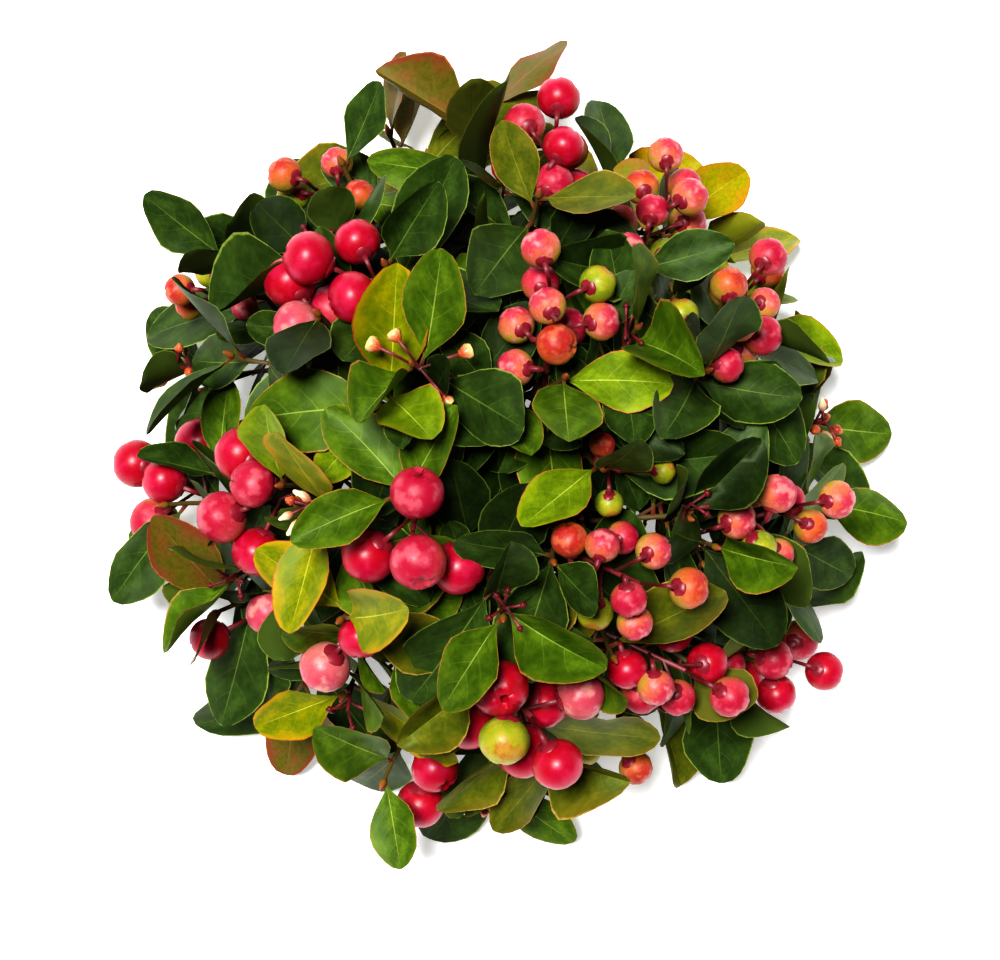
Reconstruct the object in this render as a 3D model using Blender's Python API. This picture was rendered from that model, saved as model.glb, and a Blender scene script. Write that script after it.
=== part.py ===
# Wintergreen: a low evergreen shrub, rooted in level ground, with leathery leaves and clusters of berries.
# Metres, +Z up. The origin is the middle of the flat cut under the main stem, at ground level.

import math
import random
from collections import namedtuple

import bmesh
import bpy
from mathutils import Vector
from mathutils.bvhtree import BVHTree

SEED = 26
UP = Vector((0, 0, 1))
CLEAR = 0.0003  # gap between a piece and the piece that carries it
APART = 0.0005  # least gap that a leaf, twig or fruit keeps to its neighbours
GROUND_GAP = 0.0020  # the lowest leaf stays this far above the ground

# The main stem: heights above the ground and the radius at each, from the root flare to the blunt fork.
STEM_PROFILE = (
    (0.0, 0.0074), (0.0025, 0.0058), (0.007, 0.0047), (0.015, 0.0041), (0.023, 0.0038), (0.028, 0.0031),
)
STEM_LEAN = Vector((0.05, -0.03, 0))  # sideways shift for each metre of height
STEM_SIDES = 10

# The boughs fan out from the stem and are aimed from one focus inside it.
FOCUS = Vector((0, 0, 0.026))
BOUGH_SIDES = 5
BOUGH_STEPS = 3
BOUGH_BASE_RADIUS = 0.00115
BOUGH_TIP_RADIUS = 0.00085
BOUGH_CIRCLE = 0.0023  # radius of the circle on the stem's top that the highest boughs leave from
CURVE_HANDLE = 0.35  # a limb's curve keeps its end directions over this share of its span

# A mass starts at its bough's tip, forks at its hub and ends in two shoots.
FORK_LENGTH = 0.012
TWIG_SIDES = 3
TWIG_STEPS = 3
TWIG_BASE_RADIUS = 0.00085
SIDE_TWIG_RADIUS = 0.00066
TWIG_TIP_RADIUS = 0.00055
AIM_JITTER = 3  # degrees that a mass's direction strays from its even place in its ring
TWIG_ROLL_JITTER = 12
SHOOT_SPREAD = 13  # degrees from the mass's own direction to each shoot
SHOOT_JITTER = 3
SHOOT_REACHES = (0.96, 1.04)  # least and greatest share of the mass's reach
LOWEST_TIP = 0.022  # no shoot ends lower than this above the ground

# A shoot's leaves stand in a spiral, the lowest ones flat out from it and the highest pointing along it.
LEAVES_PER_SHOOT = 7
LOWEST_LEAF = 0.42  # share of the way up the shoot
HIGHEST_LEAF = 0.98
LEAF_LENGTH = 0.0325
MIDDLE_LEAF_SIZE = 1.10  # share of that length halfway up the leafy stretch, and at its two ends
END_LEAF_SIZE = 0.89
LEAF_LENGTHS = (0.88, 1.14)  # least and greatest share of that again, from leaf to leaf
LEAF_WIDTH_SHARE = 0.54
LEAF_WIDTHS = (0.88, 1.12)
LEAF_SAGS = (0.04, 0.17)  # share of its length that a leaf's tip arches down
LEAF_DEPTH = 0.0008  # of the keel under the midrib
LEAF_ROOT_HALF = 0.00030
LEAF_ROOT_DEPTH = 0.00030
LEAF_STATIONS = ((0.38, 0.90), (0.76, 0.86))  # share of the length, and of the half width there
LEAF_TURN = 137.5  # degrees round the shoot from one leaf to the next
LEAF_TURN_JITTER = 9
LEAF_LOWEST_ANGLE = 92  # degrees between the shoot and its lowest leaf
LEAF_HIGHEST_ANGLE = 44
LEAF_ANGLE_CURVE = 1.6
LEAF_ANGLE_JITTER = 6
LEAF_TO_LIGHT = 0.75  # how far a leaf's face turns up from its shoot's own direction
LEAF_BANK = 26  # degrees that a leaf may roll about its midrib
LEAF_BANK = 26  # degrees that a leaf may roll about its midrib
BLADE_START = 0.16  # share of a leaf's length that its stalk takes
SIZES_TRIED = (1.0, 0.82)  # what a leaf tries in turn to fit in, before it is left out
LIFTS_TRIED = (0, -15, 15, -30)
TURNS_TRIED = (0, 17, -17, 34, -34)

# Each mass: what its leading shoot bears, how far it stretches as a share of its ring's reach, and which
# way its fruiting stalk leans: 0 towards the crown's top, 90 clockwise from above, 180 outward and down.
# Turn and drop are the degrees that it stands anticlockwise of its even place in the ring, and below it.
Plan = namedtuple("Plan", "crop stretch lean turn drop")

# Rings of masses, from the top of the crown down. Tilt is from the vertical, and bearings are anticlockwise
# from +X. A ring's boughs leave the stem at its leave_tilt, and its shoots rise at their ends by its lift.
Ring = namedtuple("Ring", "name tilt leave_tilt first_bearing foot reach lift twig_roll stem_heights plans")
RINGS = (
    Ring(
        "crown", 22, 22, 94, 0.042, 0.085, 0.25, 65, (0.028,),
        (
            Plan("truss", 1.00, 175, 12, -6),
            Plan("buds", 0.98, 180, 18, 7),
            Plan("ripe", 1.02, 200, 12, 0),
            Plan("truss", 1.00, 200, 8, 6),
            Plan("green", 1.00, 110, -2, 0),
        ),
    ),
    Ring(
        "shoulder", 57, 66, 90, 0.041, 0.085, 0.38, 22, (0.0180, 0.0225),
        (
            Plan("red_truss", 1.09, 120, -2, 0),
            Plan("ripe", 0.98, 300, 4, -5),
            Plan("pair", 1.00, 120, -6, 0),
            Plan("ripe", 1.00, 180, -2, 0),
            Plan("pair", 1.00, 270, -1, 0),
            Plan("heap", 1.04, 260, 2, 0),
            Plan("red_truss", 1.02, 270, 2, 0),
            Plan("truss", 1.02, 250, 0, 0),
            Plan("truss", 0.98, 240, 4, -4),
            Plan("truss", 1.06, 190, 7, 0),
        ),
    ),
    Ring(
        "skirt", 91, 82, 101, 0.039, 0.083, 0.42, 40, (0.0085, 0.0130),
        (
            Plan("none", 1.24, 0, 0, 0),
            Plan("small", 1.15, 0, -5, 0),
            Plan("small", 1.14, 0, -10, 0),
            Plan("ripe", 1.12, 60, -4, 0),
            Plan("pair", 1.12, 0, -10, 0),
            Plan("pair", 1.18, 300, -6, 0),
            Plan("small", 1.02, 300, -4, 0),
            Plan("red_truss", 1.12, 300, -8, 0),
            Plan("buds", 1.06, 0, -4, 0),
            Plan("small", 1.00, 0, -2, 0),
            Plan("none", 1.00, 0, -9, 0),
        ),
    ),
)

# What a mass's leading shoot bears: how many berries, their radius, the length of the stalk that carries
# them all, and of each berry's own stalk.
Crop = namedtuple("Crop", "count radius spine stalk")
CROPS = {
    "none": Crop(0, 0.0, 0.0, 0.0),
    "buds": Crop(0, 0.0, 0.0, 0.0),
    "green": Crop(3, 0.0040, 0.010, 0.007),
    "small": Crop(4, 0.0047, 0.017, 0.007),
    "truss": Crop(9, 0.0052, 0.029, 0.0075),
    "red_truss": Crop(7, 0.0056, 0.025, 0.0075),
    "pair": Crop(2, 0.0066, 0.007, 0.008),
    "ripe": Crop(4, 0.0068, 0.011, 0.009),
    "heap": Crop(7, 0.0072, 0.022, 0.009),
}
BERRY_SEGMENTS = 6
BERRY_RINGS = 3
BERRY_DEPTH_SHARE = 0.94
STALK_RADIUS = 0.00045
SPINE_ROOT = 0.72  # share of the way up the leading shoot where the fruiting stalk leaves it
SPINE_LEAN = 0.85  # sideways, for each part outward
SPINE_SAG = 0.10  # share of its length that its end hangs down
SPINE_STEPS = 2
SPINE_WIDTHS = (1.2, 1.1, 1.0)  # shares of the stalk's radius, from its root to its end
LEAN_RANGE = 45  # degrees that a fruiting stalk may turn from its plan's lean to find room
LEAN_STEP = 15
FIRST_BERRY = 0.16  # share of the fruiting stalk below its first berry
BERRY_SHIFTS = (0.93, 1.0)
BERRY_TURN = 120  # degrees round the fruiting stalk from one berry to the next
BERRY_TURN_JITTER = 40
SIDE_BERRY_LEANS = (50, 82)  # degrees between the fruiting stalk and a berry's own stalk
END_BERRY_LEANS = (0, 40)
BERRY_OUTWARD = 0.35  # how far a berry's stalk bends outwards, and how far down
BERRY_DROOP = 0.15
BERRY_NOD = 0.25  # how far the berry turns down at the end of its stalk
BERRY_SIZES = (0.86, 1.06)  # shares of its crop's radius
BERRY_STALKS = (0.75, 1.15)  # shares of its crop's stalk
BERRY_STALK_WIDTH = 0.9
BERRY_TRIES = 30
SIGHT_LENGTH = 0.016  # leaves stay out of a thin wedge in front of each berry, so that the fruit shows
SIGHT_SHARE = 0.6  # of the berry's radius
SIGHT_LIFT = 0.6

FLAT_ANGLE = math.radians(1.5)  # faces of a fused mass that lie flatter than this become one

Shape = namedtuple("Shape", "points faces")
Obstacle = namedtuple("Obstacle", "tree middle reach owner kind")
Tube = namedtuple("Tube", "points radii sides")
Leaf = namedtuple("Leaf", "root along face length width sag")
Berry = namedtuple("Berry", "middle radius axis")


def direction(tilt, bearing):
    """The unit vector at a tilt from the vertical and a bearing round it, in degrees."""
    t, b = math.radians(tilt), math.radians(bearing)
    return Vector((math.sin(t) * math.cos(b), math.sin(t) * math.sin(b), math.cos(t)))


def across(axis, roll):
    """A unit vector at right angles to the axis. Roll 0 is its upward side, or +Y for an upright axis."""
    start = UP if abs(axis.z) < 0.98 else Vector((0, 1, 0))
    first = (start - axis * start.dot(axis)).normalized()
    second = axis.cross(first)
    r = math.radians(roll)
    return first * math.cos(r) + second * math.sin(r)


def curve_points(start, start_handle, end_handle, end, steps):
    """Points along a cubic Bezier curve."""
    points = []
    for i in range(steps + 1):
        t = i / steps
        s = 1 - t
        points.append(
            start * s**3 + start_handle * (3 * s * s * t) + end_handle * (3 * s * t * t) + end * t**3
        )
    return points


def along_points(points, share):
    """The point and the tangent at a share of the way along a list of points."""
    place = min(share, 0.9999) * (len(points) - 1)
    i = int(place)
    step = points[i + 1] - points[i]
    return points[i] + step * (place - i), step.normalized()


def tube_shape(tube, fat=0.0, level=False):
    """A closed tube with flat ends through the tube's points. Level keeps each of its rings horizontal."""
    points, faces = [], []
    last = len(tube.points) - 1
    sides = tube.sides
    turn = across(UP if level else (tube.points[1] - tube.points[0]).normalized(), 0)
    for i, (middle, radius) in enumerate(zip(tube.points, tube.radii)):
        tangent = UP if level else (tube.points[min(i + 1, last)] - tube.points[max(i - 1, 0)]).normalized()
        turn = (turn - tangent * turn.dot(tangent)).normalized()
        other = tangent.cross(turn)
        for k in range(sides):
            a = 2 * math.pi * k / sides
            points.append(middle + (turn * math.cos(a) + other * math.sin(a)) * (radius + fat))
    for i in range(last):
        for k in range(sides):
            here, there = i * sides + k, i * sides + (k + 1) % sides
            faces.append((here, there, there + sides, here + sides))
    faces.append(tuple(reversed(range(sides))))
    faces.append(tuple(range(last * sides, last * sides + sides)))
    return Shape(points, faces)


def leaf_point(leaf, share):
    """The point at a share of the way along a leaf's midrib, which arches over towards its tip."""
    return leaf.root + leaf.along * (leaf.length * share) - leaf.face * (leaf.sag * leaf.length * share**2)


def leaf_shape(leaf, fat=0.0, blade_only=False):
    """A leaf as a closed blade with a keel under its midrib. Fat swells it for a clearance test."""
    side = leaf.along.cross(leaf.face)
    stations = [(share, leaf.width / 2 * half, LEAF_DEPTH) for share, half in LEAF_STATIONS]
    first = (0.0, LEAF_ROOT_HALF, LEAF_ROOT_DEPTH)
    if blade_only:
        first = (BLADE_START, leaf.width / 5, LEAF_DEPTH)
    points, faces = [], []
    for share, half, depth in [first] + stations:
        middle = leaf_point(leaf, share)
        points.append(middle + side * (half + fat) + leaf.face * fat)
        points.append(middle - side * (half + fat) + leaf.face * fat)
        points.append(middle - leaf.face * (depth + fat))
    tip = len(points)
    points.append(leaf_point(leaf, 1.0) + leaf.along * fat)
    faces.append((0, 1, 2))
    for i in range(len(stations)):
        a, b = 3 * i, 3 * i + 3
        faces += [(a, b, b + 1, a + 1), (a + 1, b + 1, b + 2, a + 2), (a + 2, b + 2, b, a)]
    end = tip - 3
    faces += [(end, tip, end + 1), (end + 1, tip, end + 2), (end + 2, tip, end)]
    return Shape(points, faces)


def berry_shape(berry, fat=0.0):
    """A berry as a faceted ball, a little wider than it is deep."""
    side = across(berry.axis, 0)
    other = berry.axis.cross(side)
    radius = berry.radius + fat
    depth = berry.axis * radius * BERRY_DEPTH_SHARE
    n = BERRY_SEGMENTS
    points = [berry.middle - depth]
    for ring in range(1, BERRY_RINGS):
        polar = math.pi * ring / BERRY_RINGS
        for k in range(n):
            a = 2 * math.pi * k / n
            out = (side * math.cos(a) + other * math.sin(a)) * radius * math.sin(polar)
            points.append(berry.middle - depth * math.cos(polar) + out)
    points.append(berry.middle + depth)
    top, last = 1 + (BERRY_RINGS - 2) * n, len(points) - 1
    faces = []
    for k in range(n):
        beside = (k + 1) % n
        faces.append((0, 1 + beside, 1 + k))
        for i in range(1, top, n):
            faces.append((i + k, i + beside, i + beside + n, i + k + n))
        faces.append((top + k, top + beside, last))
    return Shape(points, faces)


def sight_shape(berry, outward):
    """The thin wedge in front of a berry that leaves stay out of."""
    half = berry.radius * SIGHT_SHARE
    front = berry.middle + outward * (berry.radius + SIGHT_LENGTH)
    return tube_shape(Tube([berry.middle, front], [half, half], 4))


class Garden:
    """Everything that has been placed so far, for keeping later pieces clear of it."""

    def __init__(self):
        self.placed = []

    def add(self, shape, owner, kind):
        middle = sum(shape.points, Vector()) / len(shape.points)
        reach = max((p - middle).length for p in shape.points)
        tree = BVHTree.FromPolygons([p[:] for p in shape.points], shape.faces)
        self.placed.append(Obstacle(tree, middle, reach, owner, kind))

    def is_clear(self, shape, ignore):
        """True if the shape meets nothing placed so far, apart from what the function ignores."""
        middle = sum(shape.points, Vector()) / len(shape.points)
        reach = max((p - middle).length for p in shape.points)
        tree = None
        for other in self.placed:
            if (other.middle - middle).length > other.reach + reach or ignore(other):
                continue
            tree = tree or BVHTree.FromPolygons([p[:] for p in shape.points], shape.faces)
            if tree.overlap(other.tree):
                return False
        return True


class Mass:
    """One mass of foliage: its name, bough, shoots, leaves and fruit."""

    def __init__(self, number, ring, place):
        self.number = number
        self.ring = ring
        self.plan = ring.plans[place]
        self.crop = CROPS[self.plan.crop]
        self.label = f"{ring.name}_{place + 1}"
        self.rng = random.Random(SEED * 1000 + number)
        self.bearing = ring.first_bearing + 360 / len(ring.plans) * place + self.plan.turn
        tilt = ring.tilt + self.plan.drop
        self.axis = direction(tilt + self.stray(AIM_JITTER), self.bearing + self.stray(AIM_JITTER))
        self.height = ring.stem_heights[place % len(ring.stem_heights)]
        self.reach = ring.reach * self.plan.stretch
        self.bough = None
        self.shoots = []
        self.twigs = []
        self.stalks = []
        self.berries = []
        self.leaves = []

    def stray(self, most):
        return self.rng.uniform(-most, most)


def stem_middle(height):
    return STEM_LEAN * height + UP * height


def stem_radius(height):
    """The main stem's radius at a height, read from its profile."""
    for (low, wide), (high, narrow) in zip(STEM_PROFILE, STEM_PROFILE[1:]):
        if height <= high:
            return wide + (narrow - wide) * (height - low) / (high - low)
    return STEM_PROFILE[-1][1]


def main_stem():
    heights = [h for h, _ in STEM_PROFILE]
    return Tube([stem_middle(h) for h in heights], [r for _, r in STEM_PROFILE], STEM_SIDES)


def limb_curve(start, start_way, end, end_way, steps):
    """A curve that leaves its start one way and arrives at its end another."""
    handle = (end - start).length * CURVE_HANDLE
    return curve_points(start, start + start_way * handle, end - end_way * handle, end, steps)


def taper(base, tip, steps):
    return [base + (tip - base) * i / steps for i in range(steps + 1)]


def bough_tube(mass):
    """One tapering limb from the main stem to the foot of its mass."""
    ring = mass.ring
    foot = FOCUS + mass.axis * ring.foot
    outward = direction(90, mass.bearing)
    way = direction(ring.leave_tilt, mass.bearing)
    if mass.height == STEM_PROFILE[-1][0]:
        seat = outward * BOUGH_CIRCLE + UP * (CLEAR + BOUGH_BASE_RADIUS * outward.dot(way))
    else:
        seat = outward * (stem_radius(mass.height) + CLEAR + BOUGH_BASE_RADIUS * way.z)
    start = stem_middle(mass.height) + seat
    points = limb_curve(start, way, foot, mass.axis, BOUGH_STEPS)
    return Tube(points, taper(BOUGH_BASE_RADIUS, BOUGH_TIP_RADIUS, BOUGH_STEPS), BOUGH_SIDES)


def twig_tube(start, way, tip, tip_way, base_radius):
    points = limb_curve(start, way, tip, tip_way, TWIG_STEPS)
    return Tube(points, taper(base_radius, TWIG_TIP_RADIUS, TWIG_STEPS), TWIG_SIDES)


def grow_shoots(mass):
    """The mass's stem, which runs on into its leading shoot, and a second shoot from the fork."""
    ring, rng = mass.ring, mass.rng
    foot = FOCUS + mass.axis * (ring.foot + CLEAR)
    roll = ring.twig_roll + mass.stray(TWIG_ROLL_JITTER)
    for lead in (True, False):
        side = across(mass.axis, roll + (0 if lead else 180))
        spread = math.radians(SHOOT_SPREAD + mass.stray(SHOOT_JITTER))
        toward = (mass.axis * math.cos(spread) + side * math.sin(spread)).normalized()
        tip = FOCUS + toward * mass.reach * rng.uniform(*SHOOT_REACHES)
        tip.z = max(tip.z, LOWEST_TIP)
        tip_way = (toward * (1 - ring.lift) + UP * ring.lift).normalized()
        if lead:
            twig = twig_tube(foot, mass.axis, tip, tip_way, TWIG_BASE_RADIUS)
        else:
            stem = mass.twigs[0].points
            fork, _ = along_points(stem, FORK_LENGTH / (stem[-1] - stem[0]).length)
            twig = twig_tube(fork, mass.axis, tip, tip_way, SIDE_TWIG_RADIUS)
        mass.twigs.append(twig)
        mass.shoots.append((twig, rng.uniform(0, 360)))


def widest_gap(mass, root, out, length, masses):
    """The way near its plan's lean that takes a fruiting stalk furthest from shoots and other fruit."""
    others = [shoot.points[-1] for other in masses for shoot, _ in other.shoots]
    others += [berry.middle for other in masses for berry in other.berries]
    best, best_room = None, -1.0
    for turn in range(-LEAN_RANGE, LEAN_RANGE + 1, LEAN_STEP):
        way = (across(out, mass.plan.lean + turn) * SPINE_LEAN + out).normalized()
        end = root + way * length
        room = min((end - other).length for other in others)
        if room > best_room:
            best, best_room = way, room
    return best


def spine_tube(mass, masses):
    """The shared stalk of a mass's berries, which leaves the leading shoot under its top leaves."""
    length = mass.crop.spine
    root, _ = along_points(mass.shoots[0][0].points, SPINE_ROOT)
    out = (root - FOCUS).normalized()
    way = widest_gap(mass, root, out, length + mass.crop.stalk, masses)
    end = root + (way - UP * SPINE_SAG) * length
    handle = way * length * CURVE_HANDLE
    points = curve_points(root, root + handle, end - handle, end, SPINE_STEPS)
    return Tube(points, [STALK_RADIUS * wide for wide in SPINE_WIDTHS], TWIG_SIDES)


def berry_trial(mass, spine, number, ease):
    """A berry and its own stalk, at one drawn place. Ease lets it stand further off, and further round."""
    crop, rng = mass.crop, mass.rng
    last = number == crop.count - 1
    share = 1.0 if last else FIRST_BERRY + (1 - FIRST_BERRY) * number / (crop.count - 1)
    start, tangent = along_points(spine.points, share * rng.uniform(*BERRY_SHIFTS))
    roll = BERRY_TURN * number + mass.stray(BERRY_TURN_JITTER) * ease**2
    lean = math.radians(rng.uniform(*(END_BERRY_LEANS if last else SIDE_BERRY_LEANS)))
    way = tangent * math.cos(lean) + across(tangent, roll) * math.sin(lean)
    out = (spine.points[0] - FOCUS).normalized()
    way = (way + out * BERRY_OUTWARD - UP * BERRY_DROOP).normalized()
    radius = crop.radius * rng.uniform(*BERRY_SIZES)
    middle = start + way * (crop.stalk * rng.uniform(*BERRY_STALKS) * ease + radius)
    stalk = Tube([start, middle], [STALK_RADIUS * BERRY_STALK_WIDTH] * 2, TWIG_SIDES)
    return Berry(middle, radius, (way - UP * BERRY_NOD).normalized()), stalk


def berry_fits(mass, berry, stalk, garden):
    if berry.middle.z - berry.radius < GROUND_GAP:
        return False
    if not garden.is_clear(berry_shape(berry, APART), lambda o: o.kind == "sight"):
        return False
    return garden.is_clear(tube_shape(stalk, APART), lambda o: o.kind == "sight" or o.owner == mass.number)


def grow_fruit(mass, garden, masses):
    """The mass's berries, each on its own stalk along the shared one."""
    if not mass.crop.count:
        return
    spine = spine_tube(mass, masses)
    mass.stalks.append(spine)
    garden.add(tube_shape(spine), mass.number, "stalk")
    for number in range(mass.crop.count):
        for attempt in range(BERRY_TRIES):
            berry, stalk = berry_trial(mass, spine, number, 1 + attempt / BERRY_TRIES)
            if not berry_fits(mass, berry, stalk, garden):
                continue
            mass.berries.append(berry)
            mass.stalks.append(stalk)
            garden.add(berry_shape(berry), mass.number, "berry")
            garden.add(tube_shape(stalk), mass.number, "stalk")
            sight = ((berry.middle - FOCUS).normalized() + UP * SIGHT_LIFT).normalized()
            garden.add(sight_shape(berry, sight), mass.number, "sight")
            break


def leaf_trial(shoot, share, roll, angle, size):
    """The leaf that a shoot would bear at this roll and angle, turned to face the light."""
    length, width_share, sag, bank = size
    root, tangent = along_points(shoot.points, share)
    angle = math.radians(angle)
    along = (tangent * math.cos(angle) + across(tangent, roll) * math.sin(angle)).normalized()
    face = tangent - along * tangent.dot(along)
    face = face.normalized() + (UP - along * UP.dot(along)) * LEAF_TO_LIGHT
    face = (face - along * face.dot(along)).normalized()
    face = face * math.cos(bank) + along.cross(face) * math.sin(bank)
    return Leaf(root, along, face, length, length * width_share, sag)


def leaf_fits(mass, leaf, garden):
    """Clear of other masses in full, and of its own with its blade, whose root sits on the shoot."""
    if min(p.z for p in leaf_shape(leaf).points) < GROUND_GAP:
        return False
    if not garden.is_clear(leaf_shape(leaf, APART), lambda o: o.owner == mass.number):
        return False
    return garden.is_clear(leaf_shape(leaf, APART, True), lambda o: o.owner != mass.number)


def try_leaf(mass, shoot, share, roll, angle, full_size, garden):
    """One leaf of a mass. It turns aside from what is in its way, and is left out if it can't."""
    length, width_share, sag, bank = full_size
    for shrink in SIZES_TRIED:
        for lift in LIFTS_TRIED:
            for turn in TURNS_TRIED:
                size = (length * shrink, width_share, sag, bank)
                leaf = leaf_trial(shoot, share, roll + turn, angle + lift, size)
                if leaf_fits(mass, leaf, garden):
                    mass.leaves.append(leaf)
                    garden.add(leaf_shape(leaf), mass.number, "leaf")
                    return


def grow_leaf(mass, shoot_number, rank, garden):
    """The leaf of one rank on one shoot, counted down from the shoot's tip."""
    shoot, first_roll = mass.shoots[shoot_number]
    rng = mass.rng
    x = 1 - rank / (LEAVES_PER_SHOOT - 1)
    angle = LEAF_LOWEST_ANGLE + (LEAF_HIGHEST_ANGLE - LEAF_LOWEST_ANGLE) * x**LEAF_ANGLE_CURVE
    angle += mass.stray(LEAF_ANGLE_JITTER)
    roll = first_roll + LEAF_TURN * rank + mass.stray(LEAF_TURN_JITTER)
    place_size = MIDDLE_LEAF_SIZE - (MIDDLE_LEAF_SIZE - END_LEAF_SIZE) * (2 * x - 1) ** 2
    length = LEAF_LENGTH * place_size * rng.uniform(*LEAF_LENGTHS)
    width_share = LEAF_WIDTH_SHARE * rng.uniform(*LEAF_WIDTHS)
    size = (length, width_share, rng.uniform(*LEAF_SAGS), math.radians(mass.stray(LEAF_BANK)))
    try_leaf(mass, shoot, LOWEST_LEAF + (HIGHEST_LEAF - LOWEST_LEAF) * x, roll, angle, size, garden)


def grow_plant():
    """All masses with their boughs, shoots, fruit and leaves, each placed clear of what came before it."""
    garden = Garden()
    garden.add(tube_shape(main_stem(), level=True), "stem", "limb")
    masses = []
    for ring in RINGS:
        for place in range(len(ring.plans)):
            masses.append(Mass(len(masses), ring, place))
    for mass in masses:
        mass.bough = bough_tube(mass)
        garden.add(tube_shape(mass.bough), "stem", "limb")
    for mass in masses:
        grow_shoots(mass)
        for twig in mass.twigs:
            garden.add(tube_shape(twig), mass.number, "twig")
    for mass in masses:
        grow_fruit(mass, garden, masses)
    for rank in range(LEAVES_PER_SHOOT):
        for shoot_number in (0, 1):
            for mass in masses:
                grow_leaf(mass, shoot_number, rank, garden)
    return masses


def finish_material(name, colour, roughness):
    material = bpy.data.materials.new(name)
    material.use_nodes = True
    shader = material.node_tree.nodes["Principled BSDF"]
    shader.inputs["Base Color"].default_value = (*colour, 1)
    shader.inputs["Roughness"].default_value = roughness
    shader.inputs["Metallic"].default_value = 0
    return material


def solid_object(name, shape, material, collection):
    """A named object with the shape as its mesh, its faces turned outwards."""
    mesh = bpy.data.meshes.new(name)
    mesh.from_pydata([p[:] for p in shape.points], [], shape.faces)
    edit = bmesh.new()
    edit.from_mesh(mesh)
    bmesh.ops.triangulate(edit, faces=edit.faces)
    bmesh.ops.recalc_face_normals(edit, faces=edit.faces)
    edit.to_mesh(mesh)
    edit.free()
    mesh.materials.append(material)
    made = bpy.data.objects.new(name, mesh)
    collection.objects.link(made)
    return made


def fused_mass(mass, material, scene_collection):
    """A mass as one closed body: its stem, with every twig, stalk, berry and leaf joined on."""
    body = solid_object(f"foliage_{mass.label}", tube_shape(mass.twigs[0]), material, scene_collection)
    joined = bpy.data.collections.new(f"joined_{mass.label}")
    scene_collection.children.link(joined)
    shapes = [tube_shape(tube) for tube in mass.twigs[1:] + mass.stalks]
    shapes += [berry_shape(berry) for berry in mass.berries]
    shapes += [leaf_shape(leaf) for leaf in mass.leaves]
    for shape in shapes:
        solid_object(f"{body.name}_piece", shape, material, joined)
    union = body.modifiers.new("join", "BOOLEAN")
    union.operation = "UNION"
    union.operand_type = "COLLECTION"
    union.collection = joined
    union.solver = "EXACT"
    flatten = body.modifiers.new("flatten", "DECIMATE")
    flatten.decimate_type = "DISSOLVE"
    flatten.angle_limit = FLAT_ANGLE
    bpy.context.view_layer.objects.active = body
    bpy.ops.object.modifier_apply(modifier=union.name)
    bpy.ops.object.modifier_apply(modifier=flatten.name)
    for piece in list(joined.objects):
        bpy.data.objects.remove(piece)
    bpy.data.collections.remove(joined)
    return body


def main():
    for old in list(bpy.data.objects):
        bpy.data.objects.remove(old)
    collection = bpy.context.scene.collection
    bark = finish_material("bark", (0.16, 0.09, 0.05), 0.85)
    foliage = finish_material("foliage", (0.045, 0.11, 0.025), 0.40)
    masses = grow_plant()
    solid_object("main_stem", tube_shape(main_stem(), level=True), bark, collection)
    for mass in masses:
        solid_object(f"bough_{mass.label}", tube_shape(mass.bough), bark, collection)
        fused_mass(mass, foliage, collection)


main()
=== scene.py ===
# %% [markdown]
# A fruiting wintergreen
#
# Wintergreen is a low evergreen shrub. Leathery leaves stand in rosettes at the ends of its shoots, and
# berries hang between them on red stalks. Seen from above it is a dark cushion with a light edge round
# every leaf. The script first grows the plant as plain records of where each limb, leaf and berry stands.
# Then it models one leaf, one berry and one of each small part, and lays copies of them along those
# records.

# %% Load the imported model and keep its box
import math
import random
from collections import namedtuple

import bpy
import numpy as np
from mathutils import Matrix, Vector
from mathutils.bvhtree import BVHTree


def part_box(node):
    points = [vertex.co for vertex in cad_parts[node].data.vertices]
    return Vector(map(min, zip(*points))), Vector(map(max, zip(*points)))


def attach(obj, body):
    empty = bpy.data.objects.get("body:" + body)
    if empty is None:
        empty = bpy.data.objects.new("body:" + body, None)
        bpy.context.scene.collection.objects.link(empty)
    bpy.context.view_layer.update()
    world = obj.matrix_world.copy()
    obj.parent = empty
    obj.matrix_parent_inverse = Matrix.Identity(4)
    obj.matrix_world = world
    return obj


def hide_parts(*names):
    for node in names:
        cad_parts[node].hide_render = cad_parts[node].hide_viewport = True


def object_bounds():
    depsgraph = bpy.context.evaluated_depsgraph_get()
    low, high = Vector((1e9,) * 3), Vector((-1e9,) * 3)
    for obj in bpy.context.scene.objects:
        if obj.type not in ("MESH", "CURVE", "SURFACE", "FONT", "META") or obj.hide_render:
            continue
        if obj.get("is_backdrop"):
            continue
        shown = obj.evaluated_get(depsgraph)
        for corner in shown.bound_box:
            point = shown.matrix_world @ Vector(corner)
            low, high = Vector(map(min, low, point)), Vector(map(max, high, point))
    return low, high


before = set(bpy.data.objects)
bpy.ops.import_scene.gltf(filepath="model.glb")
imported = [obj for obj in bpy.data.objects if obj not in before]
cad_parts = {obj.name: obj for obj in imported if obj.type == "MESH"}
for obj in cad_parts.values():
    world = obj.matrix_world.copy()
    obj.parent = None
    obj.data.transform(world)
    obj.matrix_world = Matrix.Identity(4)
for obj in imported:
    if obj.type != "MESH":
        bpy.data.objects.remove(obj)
cad_box = [list(corner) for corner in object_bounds()]
print("nodes", len(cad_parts), "box", [[round(v, 4) for v in corner] for corner in cad_box])

# %% [markdown]
# How the plant grows
#
# A shrub could be scattered by hand, or grown by a particle system. Here a seeded rule grows it, because
# the same rule made the solid model: with the same seed and the same draws, every shoot, leaf and berry
# comes out in the place of its solid. The next cells hold the rule's sizes, in metres, with +Z up and the
# ground at height 0.

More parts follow.
